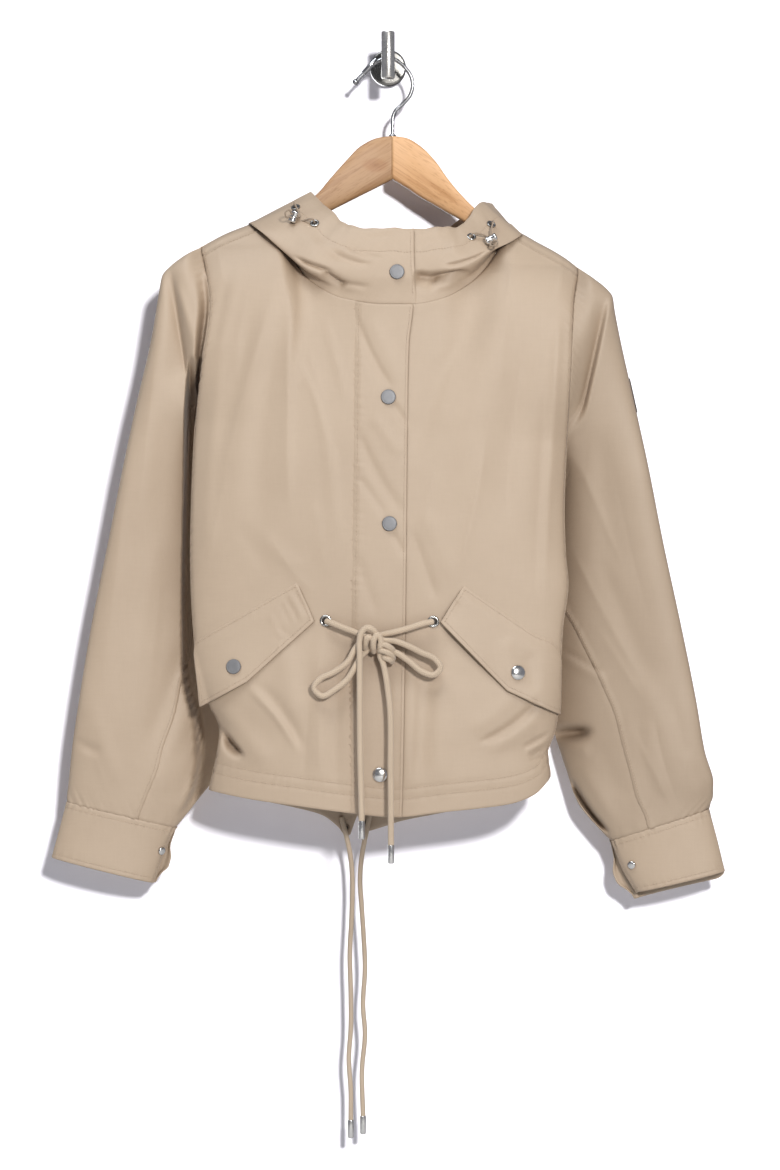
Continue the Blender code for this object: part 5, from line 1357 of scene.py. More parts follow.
# painted shade: near-black colour for the discs set in the eyelet holes, standing in for the shade inside them
HOLE_SHADE = thread_material("eyelet_hole_painted_shade", (0.035, 0.026, 0.020))
CHROME = metal_material("hook_chrome", (0.40, 0.40, 0.41), 0.20, (1, 1, 1), 500.0)
# the wall plate and the foot of the stem are painted dark, standing in for the dark room they reflect; the peg keeps
# the full colour
STEEL = metal_material("peg_steel", (0.74, 0.72, 0.68), 0.26, (40, 40, 1), 60.0, deep=((0.012, 0.30), (0.02, 1.0)))
PATCH = thread_material("bare_patch", (0.035, 0.020, 0.016))


def piece(obj, material, slot, *nodes):
    """A finished piece: its material, what it stands for and what it rides on."""
    obj.data.materials.clear()
    obj.data.materials.append(material)
    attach(obj, "root")
    if nodes:
        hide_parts(*nodes)
    return obj


# ------------------------------------------------------------ panels
def rows_of(t):
    return np.stack(list(t.values()), -1)


STITCHES = {}        # thread bars, gathered by the part of the garment they sew
SHEETS = []          # cloth pieces with their outside grids


def sew(group, points, outward, edge, at, lo=0.0, hi=1.0, pitch=3.1, out=0.12):
    """A row of stitches that runs at a distance from an edge of a grid."""
    n = grid_normals(points, outward)[0]
    spots = inset(points, edge, at)
    a, b = int(round(lo * (len(spots) - 1))), int(round(hi * (len(spots) - 1)))
    spots = spots[a:b + 1]
    line = sample(points, spots)
    normal = unit(sample(n, spots))
    STITCHES.setdefault(group, []).extend(
        stitch_parts(line + normal * out, normal, pitch, skip=(2.0, 2.0)))


def cloth_piece(name, points, outward, wall, material, *nodes):
    verts, faces = shell_parts(points, outward, wall)
    obj = piece(mesh_object(name, verts, faces), material, "shell_cloth", *nodes)
    SHEETS.append((obj, points))
    return obj


def spot(points, outward, x, z, front=True):
    """The place on a grid seen at (x, z) from the front, and its outward direction."""
    n = grid_normals(points, outward)[0]
    d = (points[..., 0] - x) ** 2 + (points[..., 2] - z) ** 2
    if front:
        d = d + np.where(n[..., 1] < 0, 0.0, 1e6)
    i, j = np.unravel_index(np.argmin(d), d.shape)
    a, b = slice(max(i - 2, 0), i + 3), slice(max(j - 2, 0), j + 3)
    near = points[a, b].reshape(-1, 3)
    normal = unit(n[a, b].reshape(-1, 3).mean(0))
    middle = near.mean(0)
    y = middle[1] - (normal[0] * (x - middle[0]) + normal[2] * (z - middle[2])) / normal[1]
    return np.array([x, y, z]), normal


FRONT = (0, -1, 0)
ROWS = even(238)
ROUND_UNDER = 5.0    # how far the fronts run on below the placket


def with_marks(base, marks):
    keep = [b for b in base if np.min(np.abs(np.asarray(marks) - b)) > 0.004]
    return np.sort(np.concatenate([keep, marks]))


def side_line(t):
    return np.full(ROWS.size, float(t))


def corner_columns(count, from_t, to_t, xs):
    t = np.interp(xs, FRONT_TOP["x"], front_top_t)
    return with_marks(even(count), (t - from_t) / (to_t - from_t))


seam_t = strip_t(placket_seam, ROUND_UNDER, ROWS, front_top_z, front_hem_z)
under_t = strip_t(placket_seam, ROUND_UNDER + 3.0, ROWS, front_top_z, front_hem_z)
fronts = {}
for name, outer, inner, count, marks in (
        ("front_right", side_line(0), seam_t, 70, (-108.6, -107.0, -101.0)),
        ("front_left", side_line(1), under_t, 88, (121.0, 119.6, 115.5))):
    panel = front_grid(outer, inner, corner_columns(count, outer[0], inner[0], marks), ROWS)
    panel = groove(panel, FRONT, "foot",
                   [(18.0, 0.45, 1.6, 0.32, 9.0, 5.0), (28.0, 0.45, 1.6, 0.30, 8.0, 5.0)])
    panel = groove(panel, FRONT, "first", [(1.0, 0.6, 1.8, 0.3, 11.0, 7.0), (4.5, 0.2, 1.2, 0.35, 8.0, 6.0)])
    ends_at = 0.44 if name == "front_right" else 0.34
    cols_at = np.linspace(0, 1, len(panel))[:, None]
    on_shoulder = smooth_step((ends_at - cols_at) / 0.06)
    s = run_along(panel, "top")
    drop = panel[:, :1, 2] - panel[..., 2]
    dip = (-1.1 * np.exp(-((drop - 9.5) / 0.9) ** 2) + 0.5 * np.exp(-((drop - 12.0) / 2.0) ** 2)
           + 0.25 * ripple(s, 10.0, 0.4) * np.exp(-((drop - 11.0) / 4.0) ** 2))
    panel = panel + grid_normals(panel, FRONT)[0] * (dip * on_shoulder)[..., None]
    fronts[name] = panel
    cloth_piece(name + "_cloth", panel, FRONT, CLOTH, SHELL, name)
    for at in (18.0, 28.0):
        sew("front", panel, FRONT, "foot", at)
    sew("front", panel, FRONT, "first", 4.5, 0.0, 0.34)
    sew("front", panel, FRONT, "first", 3.0, 0.36, 1.0)
    seam_spots = np.stack([[i, np.interp(12.5, drop[i], np.arange(drop.shape[1]))]
                           for i in range(int(ends_at * len(panel)))])
    panel_n = grid_normals(panel, FRONT)[0]
    seam_n = unit(sample(panel_n, seam_spots))
    STITCHES.setdefault("front", []).extend(
        stitch_parts(sample(panel, seam_spots) + seam_n * 0.12, seam_n, skip=(2.0, 2.0)))

PLACKET_ROWS = even(232)
strip = front_grid(strip_t(placket_seam, 0.0, PLACKET_ROWS, front_top_z, front_hem_z),
                   strip_t(placket_edge, 0.0, PLACKET_ROWS, front_top_z, front_hem_z),
                   even(28), PLACKET_ROWS, 0.6)
strip_n = front_normal(strip[..., 0], strip[..., 2])
strip_off = distance_from(strip, "first")
strip = strip + strip_n * (-0.25 + (LIFT + 0.25) * smooth_step(strip_off / 9.0)
                           + fold_height(PLACKET_FOLDS, strip[..., 0], strip[..., 2]))[..., None]
strip = groove(strip, FRONT, "first",
               [(1.6, 0.55, 0.9, 0.3, 7.0, 4.0), (4.1, -0.5, 1.7, 0.0, 8.0, 4.0), (6.6, 0.55, 0.9, 0.35, 8.0, 6.0)])
strip = groove(strip, FRONT, "foot", [(18.0, 0.4, 1.5, 0.25, 9.0, 5.0), (28.0, 0.4, 1.5, 0.25, 8.0, 5.0)])
cloth_piece("placket_cloth", strip, FRONT, DOUBLE, SHELL, "placket")
for at in (1.6, 6.6):
    sew("front", strip, FRONT, "first", at)
sew("front", strip, FRONT, "last", 2.2)
for at in (18.0, 28.0):
    sew("front", strip, FRONT, "foot", at)

BACK = (0, 1, 0)


def back_grid(cols, rows):
    t = cols[:, None] + 0 * rows[None, :]
    z = mix(back_top_z(t[:, :1]), back_hem_z(t[:, -1:]), rows[None, :])
    x = spread(t, z)
    return np.stack([x, back_y(x, z), z], -1)


tail_t = share(np.linspace(-56.0, -8.0, 17), np.full(17, -780.0))
back_marks = np.concatenate([tail_t, back_top_t[5:8], back_top_t[-8:-5]])
back = back_grid(with_marks((1 - np.cos(np.pi * even(96))) / 2, np.unique(back_marks)), even(172))
back = groove(back, BACK, "foot", [(16.0, 0.5, 1.6, 0.5, 10.0, 7.0), (26.0, 0.4, 1.6, 0.35, 9.0, 5.0)])
cloth_piece("back_cloth", back, BACK, CLOTH, SHELL, "back")
for at in (16.0, 26.0):
    sew("back", back, BACK, "foot", at)
    sew("back", back - grid_normals(back, BACK)[0] * CLOTH, FRONT, "foot", at)


# ------------------------------------------------------------ sleeve pieces
SLEEVES = {}
ARMHOLE_DROP = along((-215, -240, -270, -330, -362, -376), (0, 7, 13, 14, 9, 0))


def sleeve_pieces(which, label):
    at = stations(SLEEVE_LEFT if which == "left" else SLEEVE_RIGHT, which)
    rows = np.concatenate([mix(0.0, at[4], even(30)), mix(at[4], 1.0, even(168))[1:]])
    lap = 1.2
    lo, hi = seam_front[which](rows) + lap, seam_back(rows) - lap - 360
    spaced = np.concatenate([np.linspace(0, 0.46, 34)[:-1], np.linspace(0.46, 1, 92)])
    turn_top = mix(hi[None, :], lo[None, :], spaced[:, None])
    turn_under = mix((seam_front[which](rows) - 2.2)[None, :], (seam_back(rows) + 2.2)[None, :], even(40)[:, None])
    out = (-1, -0.4, 0.2) if which == "left" else (1, -0.4, 0.2)
    side = (1, 0.3, -0.2) if which == "left" else (-1, 0.3, -0.2)
    top = sleeve_grid(which, turn_top, rows)
    under = sleeve_grid(which, turn_under, rows)
    for points, way, tuck in ((top, out, 0.0), (under, side, 1.0)):
        n = grid_normals(points, way)[0]
        move = np.zeros(points.shape[:2])
        for edge in ("first", "last"):
            off = distance_from(points, edge)
            if tuck:
                move -= 0.8 * smooth_step(1 - off / 6.0)
            else:
                s = run_along(points, edge)
                move += 0.75 * np.exp(-((off - 3.0) / 3.0) ** 2) - 0.2 * np.exp(-(off / 1.4) ** 2)
                move += 0.3 * ripple(s, 9.0, 2.0) * np.exp(-((off - 4) / 6.0) ** 2)
        off, s = distance_from(points, "foot"), run_along(points, "foot")
        move += (0.4 * ripple(s, 13.0, 0.6) + 0.3 * ripple(s, 6.0, 1.1)) * np.exp(-(off / 12.0) ** 2)
        off, s = distance_from(points, "top"), run_along(points, "top")
        move += 0.45 * ripple(s, 9.0, 0.3) * np.exp(-((off - 4) / 7.0) ** 2)
        if which == "left":
            move *= 1 - tucked(which, points[..., 0], points[..., 2])
        points += n * move[..., None]
        if which == "left":
            near = smooth_step(off / 2.4) * (1 - smooth_step((off - 4.0) / 9.0))
            points[..., 1] += (ARMHOLE_DROP(points[..., 2]) * near
                               * smooth_step((-n[..., 1] - 0.05) / 0.3))
    # the wearer's left sleeve takes the darker copy of the cloth, which is painted shade
    cloth = SHELL if which == "left" else SHELL_SHADED_SLEEVE
    cloth_piece(f"sleeve_{label}_top_cloth", top, out, CLOTH, cloth, f"sleeve_{label}_top")
    cloth_piece(f"sleeve_{label}_under_cloth", under, side, CLOTH, cloth, f"sleeve_{label}_under")
    for edge in ("first", "last"):
        sew("sleeves", top, out, edge, 3.6, 0.03, 0.99)
    SLEEVES[which] = (top, out)


sleeve_pieces("left", "r")
sleeve_pieces("right", "l")

# ------------------------------------------------------------ cuff pieces
CUFFS = {}


def cuff_pieces(which, label):
    down = even(30)
    turn = np.concatenate([np.linspace(174, -140, 20), [-152, -160]])
    points = cuff_grid(which, turn, down)
    fold = cuff_grid(which, np.array([180.0]), down)[0]
    reach = along((0.0, 0.3, 0.55, 0.68, 0.86, 1.0), (0.1, 0.3, 0.95, 1.0, 0.35, 0.1))(down)
    way = 1 if which == "left" else -1
    for part, back_off in ((0.35, 9.0), (1.0, 7.0)):
        end = fold + np.stack([way * TAB * part * reach, np.full(down.size, back_off),
                               -0.25 * TAB * part * reach], -1)
        points = np.concatenate([points, end[None]], 0)
    points = along(np.arange(len(points)), points)(np.linspace(0, len(points) - 1, 150))
    if which == "right":
        points[..., 2] -= (7.0 * smooth_step((points[..., 1] - CUFF_Y + 4) / 14.0)
                           * smooth_step(down / 0.8)[None, :])
    out = (-1, 0, 0.2) if which == "left" else (1, 0, 0.2)
    points = groove(points, out, "top", [(0.6, 0.1, 1.4, 0.45, 7.0, 6.0), (5.0, 0.2, 1.2, 0.4, 6.0, 4.0)])
    points = groove(points, out, "foot", [(4.5, 0.3, 1.2, 0.35, 8.0, 5.0)])
    cloth_piece(f"cuff_{label}_cloth", points, out, DOUBLE, SHELL, f"cuff_{label}")
    sew("sleeves", points, out, "top", 5.0, 0.0, 0.97)
    sew("sleeves", points, out, "foot", 4.5, 0.0, 0.97)
    sew("sleeves", points, out, "first", 3.0)
    CUFFS[which] = (points, out)


cuff_pieces("left", "r")
cuff_pieces("right", "l")

# ------------------------------------------------------------ hood pieces
HOOD_FOLDS = table(
    "x0      z0      x1      z1      bow  w0  w1  height skew",
    (-92.0, -205.0, -58.0, -219.0, 0, 3.0, 3.6, -5.0, 1.5),
    (-64.0, -221.0, -44.0, -235.0, 0, 5.0, 6.0, -8.0, 1.3),
    (-52.0, -229.0, -20.0, -234.0, 0, 2.0, 2.4, -1.6, 1.0),
    (-56.0, -197.0, -18.0, -211.0, 3, 2.2, 3.0, -1.7, 1.4),
    (-60.0, -190.0, -24.0, -204.0, 2, 4.0, 4.0, 1.4, 1.0),
    (-40.0, -193.0, -6.0, -205.0, 2, 1.8, 2.2, -1.1, 1.0),
    (-22.0, -186.0, 4.0, -181.0, 0, 2.0, 2.4, -1.0, 1.0),
    (27.0, -221.0, 50.0, -226.0, 0, 5.0, 6.5, -8.5, 1.6),
    (44.0, -224.0, 82.0, -220.0, 0, 6.0, 5.0, -9.5, 1.6),
    (58.0, -212.0, 98.0, -198.0, 2, 2.2, 2.6, -2.4, 1.6),
    (47.0, -234.0, 78.0, -230.0, 0, 2.2, 2.2, 1.2, 1.0),
    (-95.0, -158.0, -70.0, -196.0, 3, 8, 9, 1.8, 1.0),
    (-70.0, -176.0, -44.0, -210.0, 0, 6, 7, -1.4, 1.0),
    (84.0, -170.0, 62.0, -205.0, 0, 7, 8, 1.6, 1.0),
    (34.0, -184.0, 60.0, -196.0, 0, 3, 4, -1.0, 1.0))
LAP_UNDER, LAP_OVER = 20.0, -9.5     # bearings where the two front ends stop
HOOD_OUT = {"right": (-1, -0.3, 0), "left": (1, -0.3, 0)}
HOOD_ROWS = np.sort(np.concatenate([even(46), np.linspace(0.4, 0.62, 14)]))
HOOD_ROWS = HOOD_ROWS[np.concatenate([[True], np.diff(HOOD_ROWS) > 0.004])]
HOODS = {}
for side, bearings in (("right", np.linspace(LAP_OVER, 180.0, 124)),
                       ("left", -np.linspace(-LAP_UNDER, 180.0, 132))):
    points = hood_grid(bearings, HOOD_ROWS)
    if side == "right":
        points[..., 1] -= ((LIFT + 0.6) * smooth_step((44 - bearings) / 40))[:, None] * smooth_step(HOOD_ROWS / 0.3)[None, :]
    n = grid_normals(points, HOOD_OUT[side])[0]
    upper = smooth_step(HOOD_ROWS / 0.14)[None, :] * np.clip(-n[..., 1], 0, 1)
    points = points + n * (fold_height(HOOD_FOLDS, points[..., 0], points[..., 2]) * upper)[..., None]
    points[..., 2] += ((0.8 * np.sin(0.19 * bearings + 0.8) + 0.4 * np.sin(0.47 * bearings))
                       * np.clip((75 - np.abs(bearings)) / 20, 0, 1))[:, None] * smooth_step((HOOD_ROWS - 0.7) / 0.3)[None, :]
    points = groove(points, HOOD_OUT[side], "foot",
                    [(24.0, 0.4, 1.4, 0.3, 9.0, 6.0), (2.0, -0.4, 2.2, 0.3, 11.0, 6.0)])
    HOODS[side] = points
    cloth_piece(f"hood_{side}_cloth", points, HOOD_OUT[side], CLOTH, SHELL_BIAS, f"hood_{side}")
    sew("hood", points, HOOD_OUT[side], "foot", 24.0)
    sew("hood", points, HOOD_OUT[side], "last", 3.0, 0.1, 1.0)
sew("hood", HOODS["right"], HOOD_OUT["right"], "first", 3.0, 0.06, 1.0)

# ------------------------------------------------------------ flap pieces
FLAP_CREASES = table(
    "x0      z0      x1      z1      bow  w0  w1  height skew",
    (-94.0, -536.0, -80.0, -560.0, 0, 1.7, 1.7, -0.8, 1.0),
    (-98.0, -540.0, -84.0, -565.0, 0, 1.9, 1.9, 0.6, 1.0),
    (-102.0, -543.0, -89.0, -568.0, 0, 1.7, 1.7, -0.7, 1.0),
    (-108.0, -548.0, -97.0, -570.0, 0, 1.9, 1.9, -0.5, 1.0),
    (-118.0, -560.0, -106.0, -584.0, 0, 3.0, 3.0, 0.5, 1.0),
    (-112.0, -572.0, -94.0, -584.0, 0, 2.0, 2.0, -0.5, 1.0),
    (70.0, -548.0, 62.0, -562.0, 0, 3.0, 3.0, -0.9, 1.0),
    (118.0, -584.0, 128.0, -628.0, 3, 8.0, 9.0, 1.4, 1.0),
    (140.0, -598.0, 146.0, -636.0, 0, 6.0, 7.0, -1.2, 1.0))
FLAPS = {}
FLAP_RISE = {"r": table("at h", (0.0, 1.6), (0.1, 3.4), (0.25, 3.8), (0.42, 2.0), (0.6, 0.6), (1.0, 0.2)),
             "l": table("at h", (0.0, 3.4), (0.16, 4.4), (0.36, 1.8), (0.46, 1.6), (0.7, 4.6), (0.88, 5.6), (1.0, 4.0))}
for label, corners, bulge, level in (("r", FLAP_RIGHT, 0.0, 17.0), ("l", FLAP_LEFT, 5.0, 0.0)):
    cols = with_marks(even(56), [0.42])
    points = flap_grid(corners, cols, even(38), along(FLAP_RISE[label]["at"], FLAP_RISE[label]["h"])(cols), bulge, level)
    n = grid_normals(points, FRONT)[0]
    points = points + n * fold_height(FLAP_CREASES, points[..., 0], points[..., 2])[..., None]
    points = groove(points, FRONT, "foot", [(4.0, 0.15, 1.2, 0.2, 8.0, 4.0)])
    points = groove(points, FRONT, "top", [(2.6, 0.12, 1.3, 0.2, 8.0, 5.0)])
    FLAPS[label] = points
    cloth_piece(f"flap_{label}_cloth", points, FRONT, DOUBLE, SHELL, f"flap_{label}")
    sew("front", points, FRONT, "foot", 4.0)
    sew("front", points, FRONT, "top", 2.6)
    sew("front", points, FRONT, "first", 3.0)
    sew("front", points, FRONT, "last", 3.0)

# Bare patch on the left sleeve.
arm_points, arm_out = SLEEVES["right"]
patch = sleeve_grid("right", np.linspace(-4, -34, 14), np.linspace(0.156, 0.203, 18))
patch_n = grid_normals(patch, (1, 0, 0))[0]
patch = patch + patch_n * 1.4
verts, faces = shell_parts(patch, (1, 0, 0), 0.7)
piece(mesh_object("bare_sleeve_patch", verts, faces), PATCH, "label", "sleeve_label")
STITCHES.setdefault("sleeves", [])

# ------------------------------------------------------------ snaps and eyelets
SNAP_LINE = [(0, 2.30), (2.0, 2.30), (4.0, 2.28), (5.4, 2.25), (5.9, 2.2), (6.15, 2.12), (6.4, 2.2), (6.7, 2.25),
             (7.0, 2.05), (7.3, 1.6), (7.45, 1.1), (7.4, 0.6), (7.1, 0.2), (6.4, 0.0), (0, 0.0)]
DOME_LINE = [(0, 3.0), (1.5, 2.95), (3.0, 2.78), (4.4, 2.48), (5.6, 2.1), (6.4, 1.75), (7.0, 1.35), (7.4, 0.8),
             (7.4, 0.4), (7.1, 0.1), (6.4, 0.0), (0, 0.0)]
STUD_LINE = [(0, 2.7), (1.6, 2.65), (2.8, 2.5), (3.5, 2.2), (4.0, 1.7), (4.2, 1.0), (4.2, 0.3), (3.8, 0.0), (0, 0.0)]


def snap(name, seat, n, profile=SNAP_LINE, sides=48, material=None):
    verts, faces = lathe_parts(profile, seat + n * 0.15, n, sides)
    return piece(mesh_object(name + "_cap", verts, faces), material or SATIN, "metal", name)


for name, grid, way, x, z in (
        ("snap_chest", strip, FRONT, 0.4, -344.0), ("snap_waist", strip, FRONT, 1.5, -470.0),
        ("snap_hem", strip, FRONT, -8.0, -719.5), ("snap_neck", HOODS["right"], HOOD_OUT["right"], 9.0, -219.0),
        ("snap_flap_r", FLAPS["r"], FRONT, -153.6, -612.3), ("snap_flap_l", FLAPS["l"], FRONT, 129.4, -618.2)):
    seat, n = spot(grid, way, x, z)
    if name in ("snap_hem", "snap_flap_l"):
        snap(name, seat, n, DOME_LINE, material=NICKEL)
    else:
        snap(name, seat, n)
for name, which, x, z in (("snap_cuff_r", "left", -230.0, -800.5), ("snap_cuff_l", "right", 247.0, -814.5)):
    snap(name, *spot(*CUFFS[which], x, z), STUD_LINE, 32, NICKEL)


HOLES = []


def eyelet(name, place, n, radius, wire, material=EYELET):
    verts, faces = torus_parts(place + n * 0.35, n, radius, wire, 0.7)
    # a dark disc sunk just inside each ring: painted shade in the hole
    HOLES.append(lathe_parts([(0, 0.15), (radius * 0.95, 0.15), (radius * 0.95, -0.9), (0, -0.9)], place, n, 28))
    return piece(mesh_object(name + "_ring", verts, faces), material, "metal", name)


for name, panel, x, z in (("eyelet_waist_r", "front_right", -62.0, -566.5),
                          ("eyelet_waist_l", "front_left", 45.0, -567.5)):
    eyelet(name, *spot(fronts[panel], FRONT, x, z), 4.6, 1.4)


def on_hood(bearing, up):
    step = 1.5
    p = hood_grid(np.array([bearing - step, bearing, bearing + step]), np.array([up - 0.02, up, up + 0.02]))
    n = unit(np.cross(p[2, 1] - p[0, 1], p[1, 2] - p[1, 0]))
    centre = np.array([0, -60, p[1, 1, 2] - 30])
    return p[1, 1], (-n if np.dot(n, p[1, 1] - centre) < 0 else n)


HOOD_EYELETS = (("eyelet_hood_r1", 81.0, 0.93), ("eyelet_hood_r2", 60.0, 0.92),
                ("eyelet_hood_l1", -77.0, 0.88), ("eyelet_hood_l2", -56.0, 0.885))
hood_holes = {}
for name, bearing, up in HOOD_EYELETS:
    hood_holes[name] = on_hood(bearing, up)
    eyelet(name, hood_holes[name][0] + hood_holes[name][1] * 0.4, hood_holes[name][1], 3.6, 1.1)
for name, x, z in (("eyelet_hem_r", -42.5, -778.0), ("eyelet_hem_l", -22.0, -773.5)):
    y = float(back_y(np.array(x), np.array(z)))
    eyelet(name, np.array([x, y - CLOTH - 0.4, z]), np.array([0.0, -1.0, 0.0]), 2.6, 0.8, SEWN)
# the dark discs of painted shade from all the eyelets, as one mesh
piece(mesh_object("eyelet_holes", *joined(HOLES)), HOLE_SHADE, "shell_cloth")

# ------------------------------------------------------------ cords
AGLET_LINE = [(0, 0.3), (2.4, 0.3), (2.95, -0.2), (3.05, -0.9), (3.0, -17.2), (2.75, -18.0), (2.2, -18.5), (0, -18.5)]


def free_cord(name, route, diameter, material, nodes, others=()):
    path = refine(route, diameter * 0.45)
    verts, faces, run = tube_parts(path, diameter / 2, 18)
    obj = piece(mesh_object(name, verts, faces, run), material, "cord", *nodes)
    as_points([tuple(p * MM) for p in path[:-1:4]] + [tuple(path[-1] * MM)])
    return obj


def aglet(name, route):
    x, y, z = route[-1]
    verts, faces = lathe_parts(AGLET_LINE, (x, y, z - 0.3), (0, 0, 1), 28)
    return piece(mesh_object(name + "_tip", verts, faces), NICKEL, "metal", name)


tail_l = np.concatenate([[(-2, -134, -596), (-8, -133, -600)], rows_of(WAIST_TAIL_L)])
bow_a = np.concatenate([rows_of(WAIST_LEAD_R), [(-24, -131, -582), (-14, -134, -583), (-4, -133, -586)],
                        rows_of(WAIST_LOOP_L), tail_l])
bow_b = np.concatenate([rows_of(WAIST_LEAD_L), [(-4, -127.5, -580), (-14, -127, -583), (-24, -129, -586)],
                        rows_of(WAIST_LOOP_R),
                        [(-28, -129, -603), (-21, -127.5, -596), (-14, -130, -589), (-11.5, -135.5, -582),
                         (-14.5, -139.5, -575.5), (-20.5, -140.5, -573), (-26, -139.6, -577.5), (-28.2, -138.7, -586.5),
                         (-28, -138, -600), (-28, -137.5, -620), (-28, -137.5, -645), (-27.5, -137.5, -700),
                         (-26, -135, -764)]])
free_cord("waist_cord_a", bow_a, WAIST_CORD, CORD,
          ("waist_lead_r", "waist_loop_l", "waist_tail_l"), others=[aglet("aglet_waist_l", bow_a)])
free_cord("waist_cord_b", bow_b, WAIST_CORD, CORD,
          ("waist_lead_l", "waist_loop_r", "waist_tail_r"), others=[aglet("aglet_waist_r", bow_b)])

KNOT_WRAPS = (
    ((-22.5, -129, -594), (-22, -136, -588), (-20, -139, -582.5), (-17, -138, -583.5), (-16, -131, -591)),
    ((-14, -130, -597), (-14.5, -138, -591), (-13.5, -140.5, -584), (-10.5, -140.5, -580), (-7.5, -139.5, -584.5),
     (-7.5, -138, -591.5), (-9, -130, -598)),
    ((-10, -129, -590.5), (-7, -137.5, -589.5), (-1, -139.5, -591), (4, -136, -594.5), (5.5, -129, -598)),
    ((-9.5, -129, -597), (-6.5, -137.5, -596), (-1, -139, -597.5), (3.5, -136, -600.5), (5, -129, -604)),
    ((-6, -130, -603), (-3, -136.5, -603), (1, -137, -604.5), (4, -130, -607)))
wraps = [tube_parts(refine(np.array(w, float), 1.2), WAIST_CORD / 2, 16) for w in KNOT_WRAPS]
verts, faces = joined([(v, f) for v, f, _ in wraps])
piece(mesh_object("bow_knot", verts, faces, np.concatenate([r for _, _, r in wraps])), CORD, "cord", "waist_knot")

for label, route in (("r", HEM_CORD_R), ("l", HEM_CORD_L)):
    free_cord(f"hem_drawcord_{label}", rows_of(route), HEM_CORD, CORD_THIN,
              (f"hem_cord_{label}",), others=[aglet(f"aglet_hem_{label}", rows_of(route))])

LOCK_LINE = [(0, 6.0), (2.6, 6.0), (3.2, 5.9), (3.9, 5.3), (4.2, 4.6), (4.0, 3.4), (3.6, 2.0), (3.45, 1.0),
             (3.45, -1.0), (3.6, -2.0), (4.0, -3.4), (4.2, -4.6), (3.9, -5.3), (3.2, -5.9), (2.6, -6.0), (0, -6.0)]
for row, label, first, second in ((0, "r", "eyelet_hood_r1", "eyelet_hood_r2"),
                                  (1, "l", "eyelet_hood_l1", "eyelet_hood_l2")):
    bearing, up, ax, az = (HOOD_LOCKS[k][row] for k in HOOD_LOCKS)
    axis = np.array([ax, 0, az]) / math.hypot(ax, az)
    seat, n = on_hood(bearing, up)
    middle = seat + n * 7.0
    verts, faces = lathe_parts(LOCK_LINE, middle, axis, 36)
    lock = piece(mesh_object(f"barrel_lock_{label}", verts, faces), NICKEL, "metal", f"hood_lock_{label}")
    (p1, n1), (p2, n2) = hood_holes[first], hood_holes[second]
    toward = (p1 + p2) / 2 - middle
    side = unit(toward - axis * np.dot(toward, axis))
    if np.dot(p1 - p2, axis) < 0:
        axis = -axis
    route = [p1 + n1 * 1.0, p1 + n1 * 5.0 + side * -1.0, middle + side * 7 + axis * 2.2, middle + side * 2 + axis * 1.8,
             middle - side * 5 + axis * 1.8, middle - side * 10 + axis * 4.0, middle - side * 14 + axis * 0.2,
             middle - side * 10 - axis * 4.0, middle - side * 5 - axis * 1.8, middle + side * 2 - axis * 1.8,
             middle + side * 7 - axis * 2.2, p2 + n2 * 5.0 + side * -1.0, p2 + n2 * 1.0]
    free_cord(f"hood_elastic_{label}", np.array(route), HOOD_CORD, ELASTIC,
              (f"hood_cord_{label}_upper", f"hood_cord_{label}_lower"), [lock])

# ------------------------------------------------------------ hanger and hook
def arm_piece(label, rows, material):
    """The arm's rounded sections, drawn finely."""
    out = even(110)
    x = mix(4.5, rows["x"][-1], out)
    get = {k: along(rows["x"], rows[k])(x) for k in ("top", "low", "y", "thick")}
    turn = np.radians(np.linspace(0, 360, 56, endpoint=False) + 3)
    c, s = bent(np.cos(turn), 0.45), bent(np.sin(turn), 0.6)
    ring = np.stack([np.repeat(x[:, None], 56, 1), get["y"][:, None] + get["thick"][:, None] / 2 * c,
                     (get["top"] + get["low"])[:, None] / 2 + (get["top"] - get["low"])[:, None] / 2 * s], -1)
    faces = [(i * 56 + k, i * 56 + (k + 1) % 56, (i + 1) * 56 + (k + 1) % 56, (i + 1) * 56 + k)
             for i in range(110) for k in range(56)]
    faces += [tuple(range(56))[::-1], tuple(range(110 * 56, 111 * 56))]
    if label == "l":
        faces = [f[::-1] for f in faces]
    return piece(mesh_object(f"wood_arm_{label}", ring.reshape(-1, 3), faces), material, "hanger_wood",
                 f"hanger_arm_{label}")


# one wood for both arms: tone paints the viewer-left arm darker as painted shade and the viewer-right arm lighter as
# painted light
arm_piece("r", ARM_RIGHT, wood_material("wood_r_painted_shade", math.radians(-32), 0.84, (-0.013, -0.041, -0.104)))
arm_piece("l", ARM_LEFT, wood_material("wood_l_painted_light", math.radians(34), 1.33))

wire = refine(np.stack([HANGER_HOOK["x"], np.full(16, HOOK_Y), HANGER_HOOK["z"]], -1), 0.9)
tip = unit(wire[0] - wire[6])
sleeve_line = [(0, 0.0), (2.35, 0.0), (2.7, -0.4), (2.7, -19.6), (2.35, -20.0), (0, -20.0)]
ball = [(0, 3.2)] + [(3.2 * math.sin(math.radians(a)), 3.2 * math.cos(math.radians(a))) for a in range(15, 180, 15)] + [(0, -3.2)]
verts, faces = joined([tube_parts(wire, HOOK_WIRE / 2, 20)[:2],
                       lathe_parts(ball, wire[0], tip, 32),
                       lathe_parts(sleeve_line, wire[12] - tip * 1.0, tip, 32),
                       lathe_parts([(0, 0.6), (2.6, 0.6), (3.6, 0.0), (3.8, -3.0), (0, -3.0)],
                                   (4.5, HOOK_Y, -72.6), (0, 0, 1), 32)])
piece(mesh_object("hook_wire", verts, faces), CHROME, "steel", "hanger_hook")

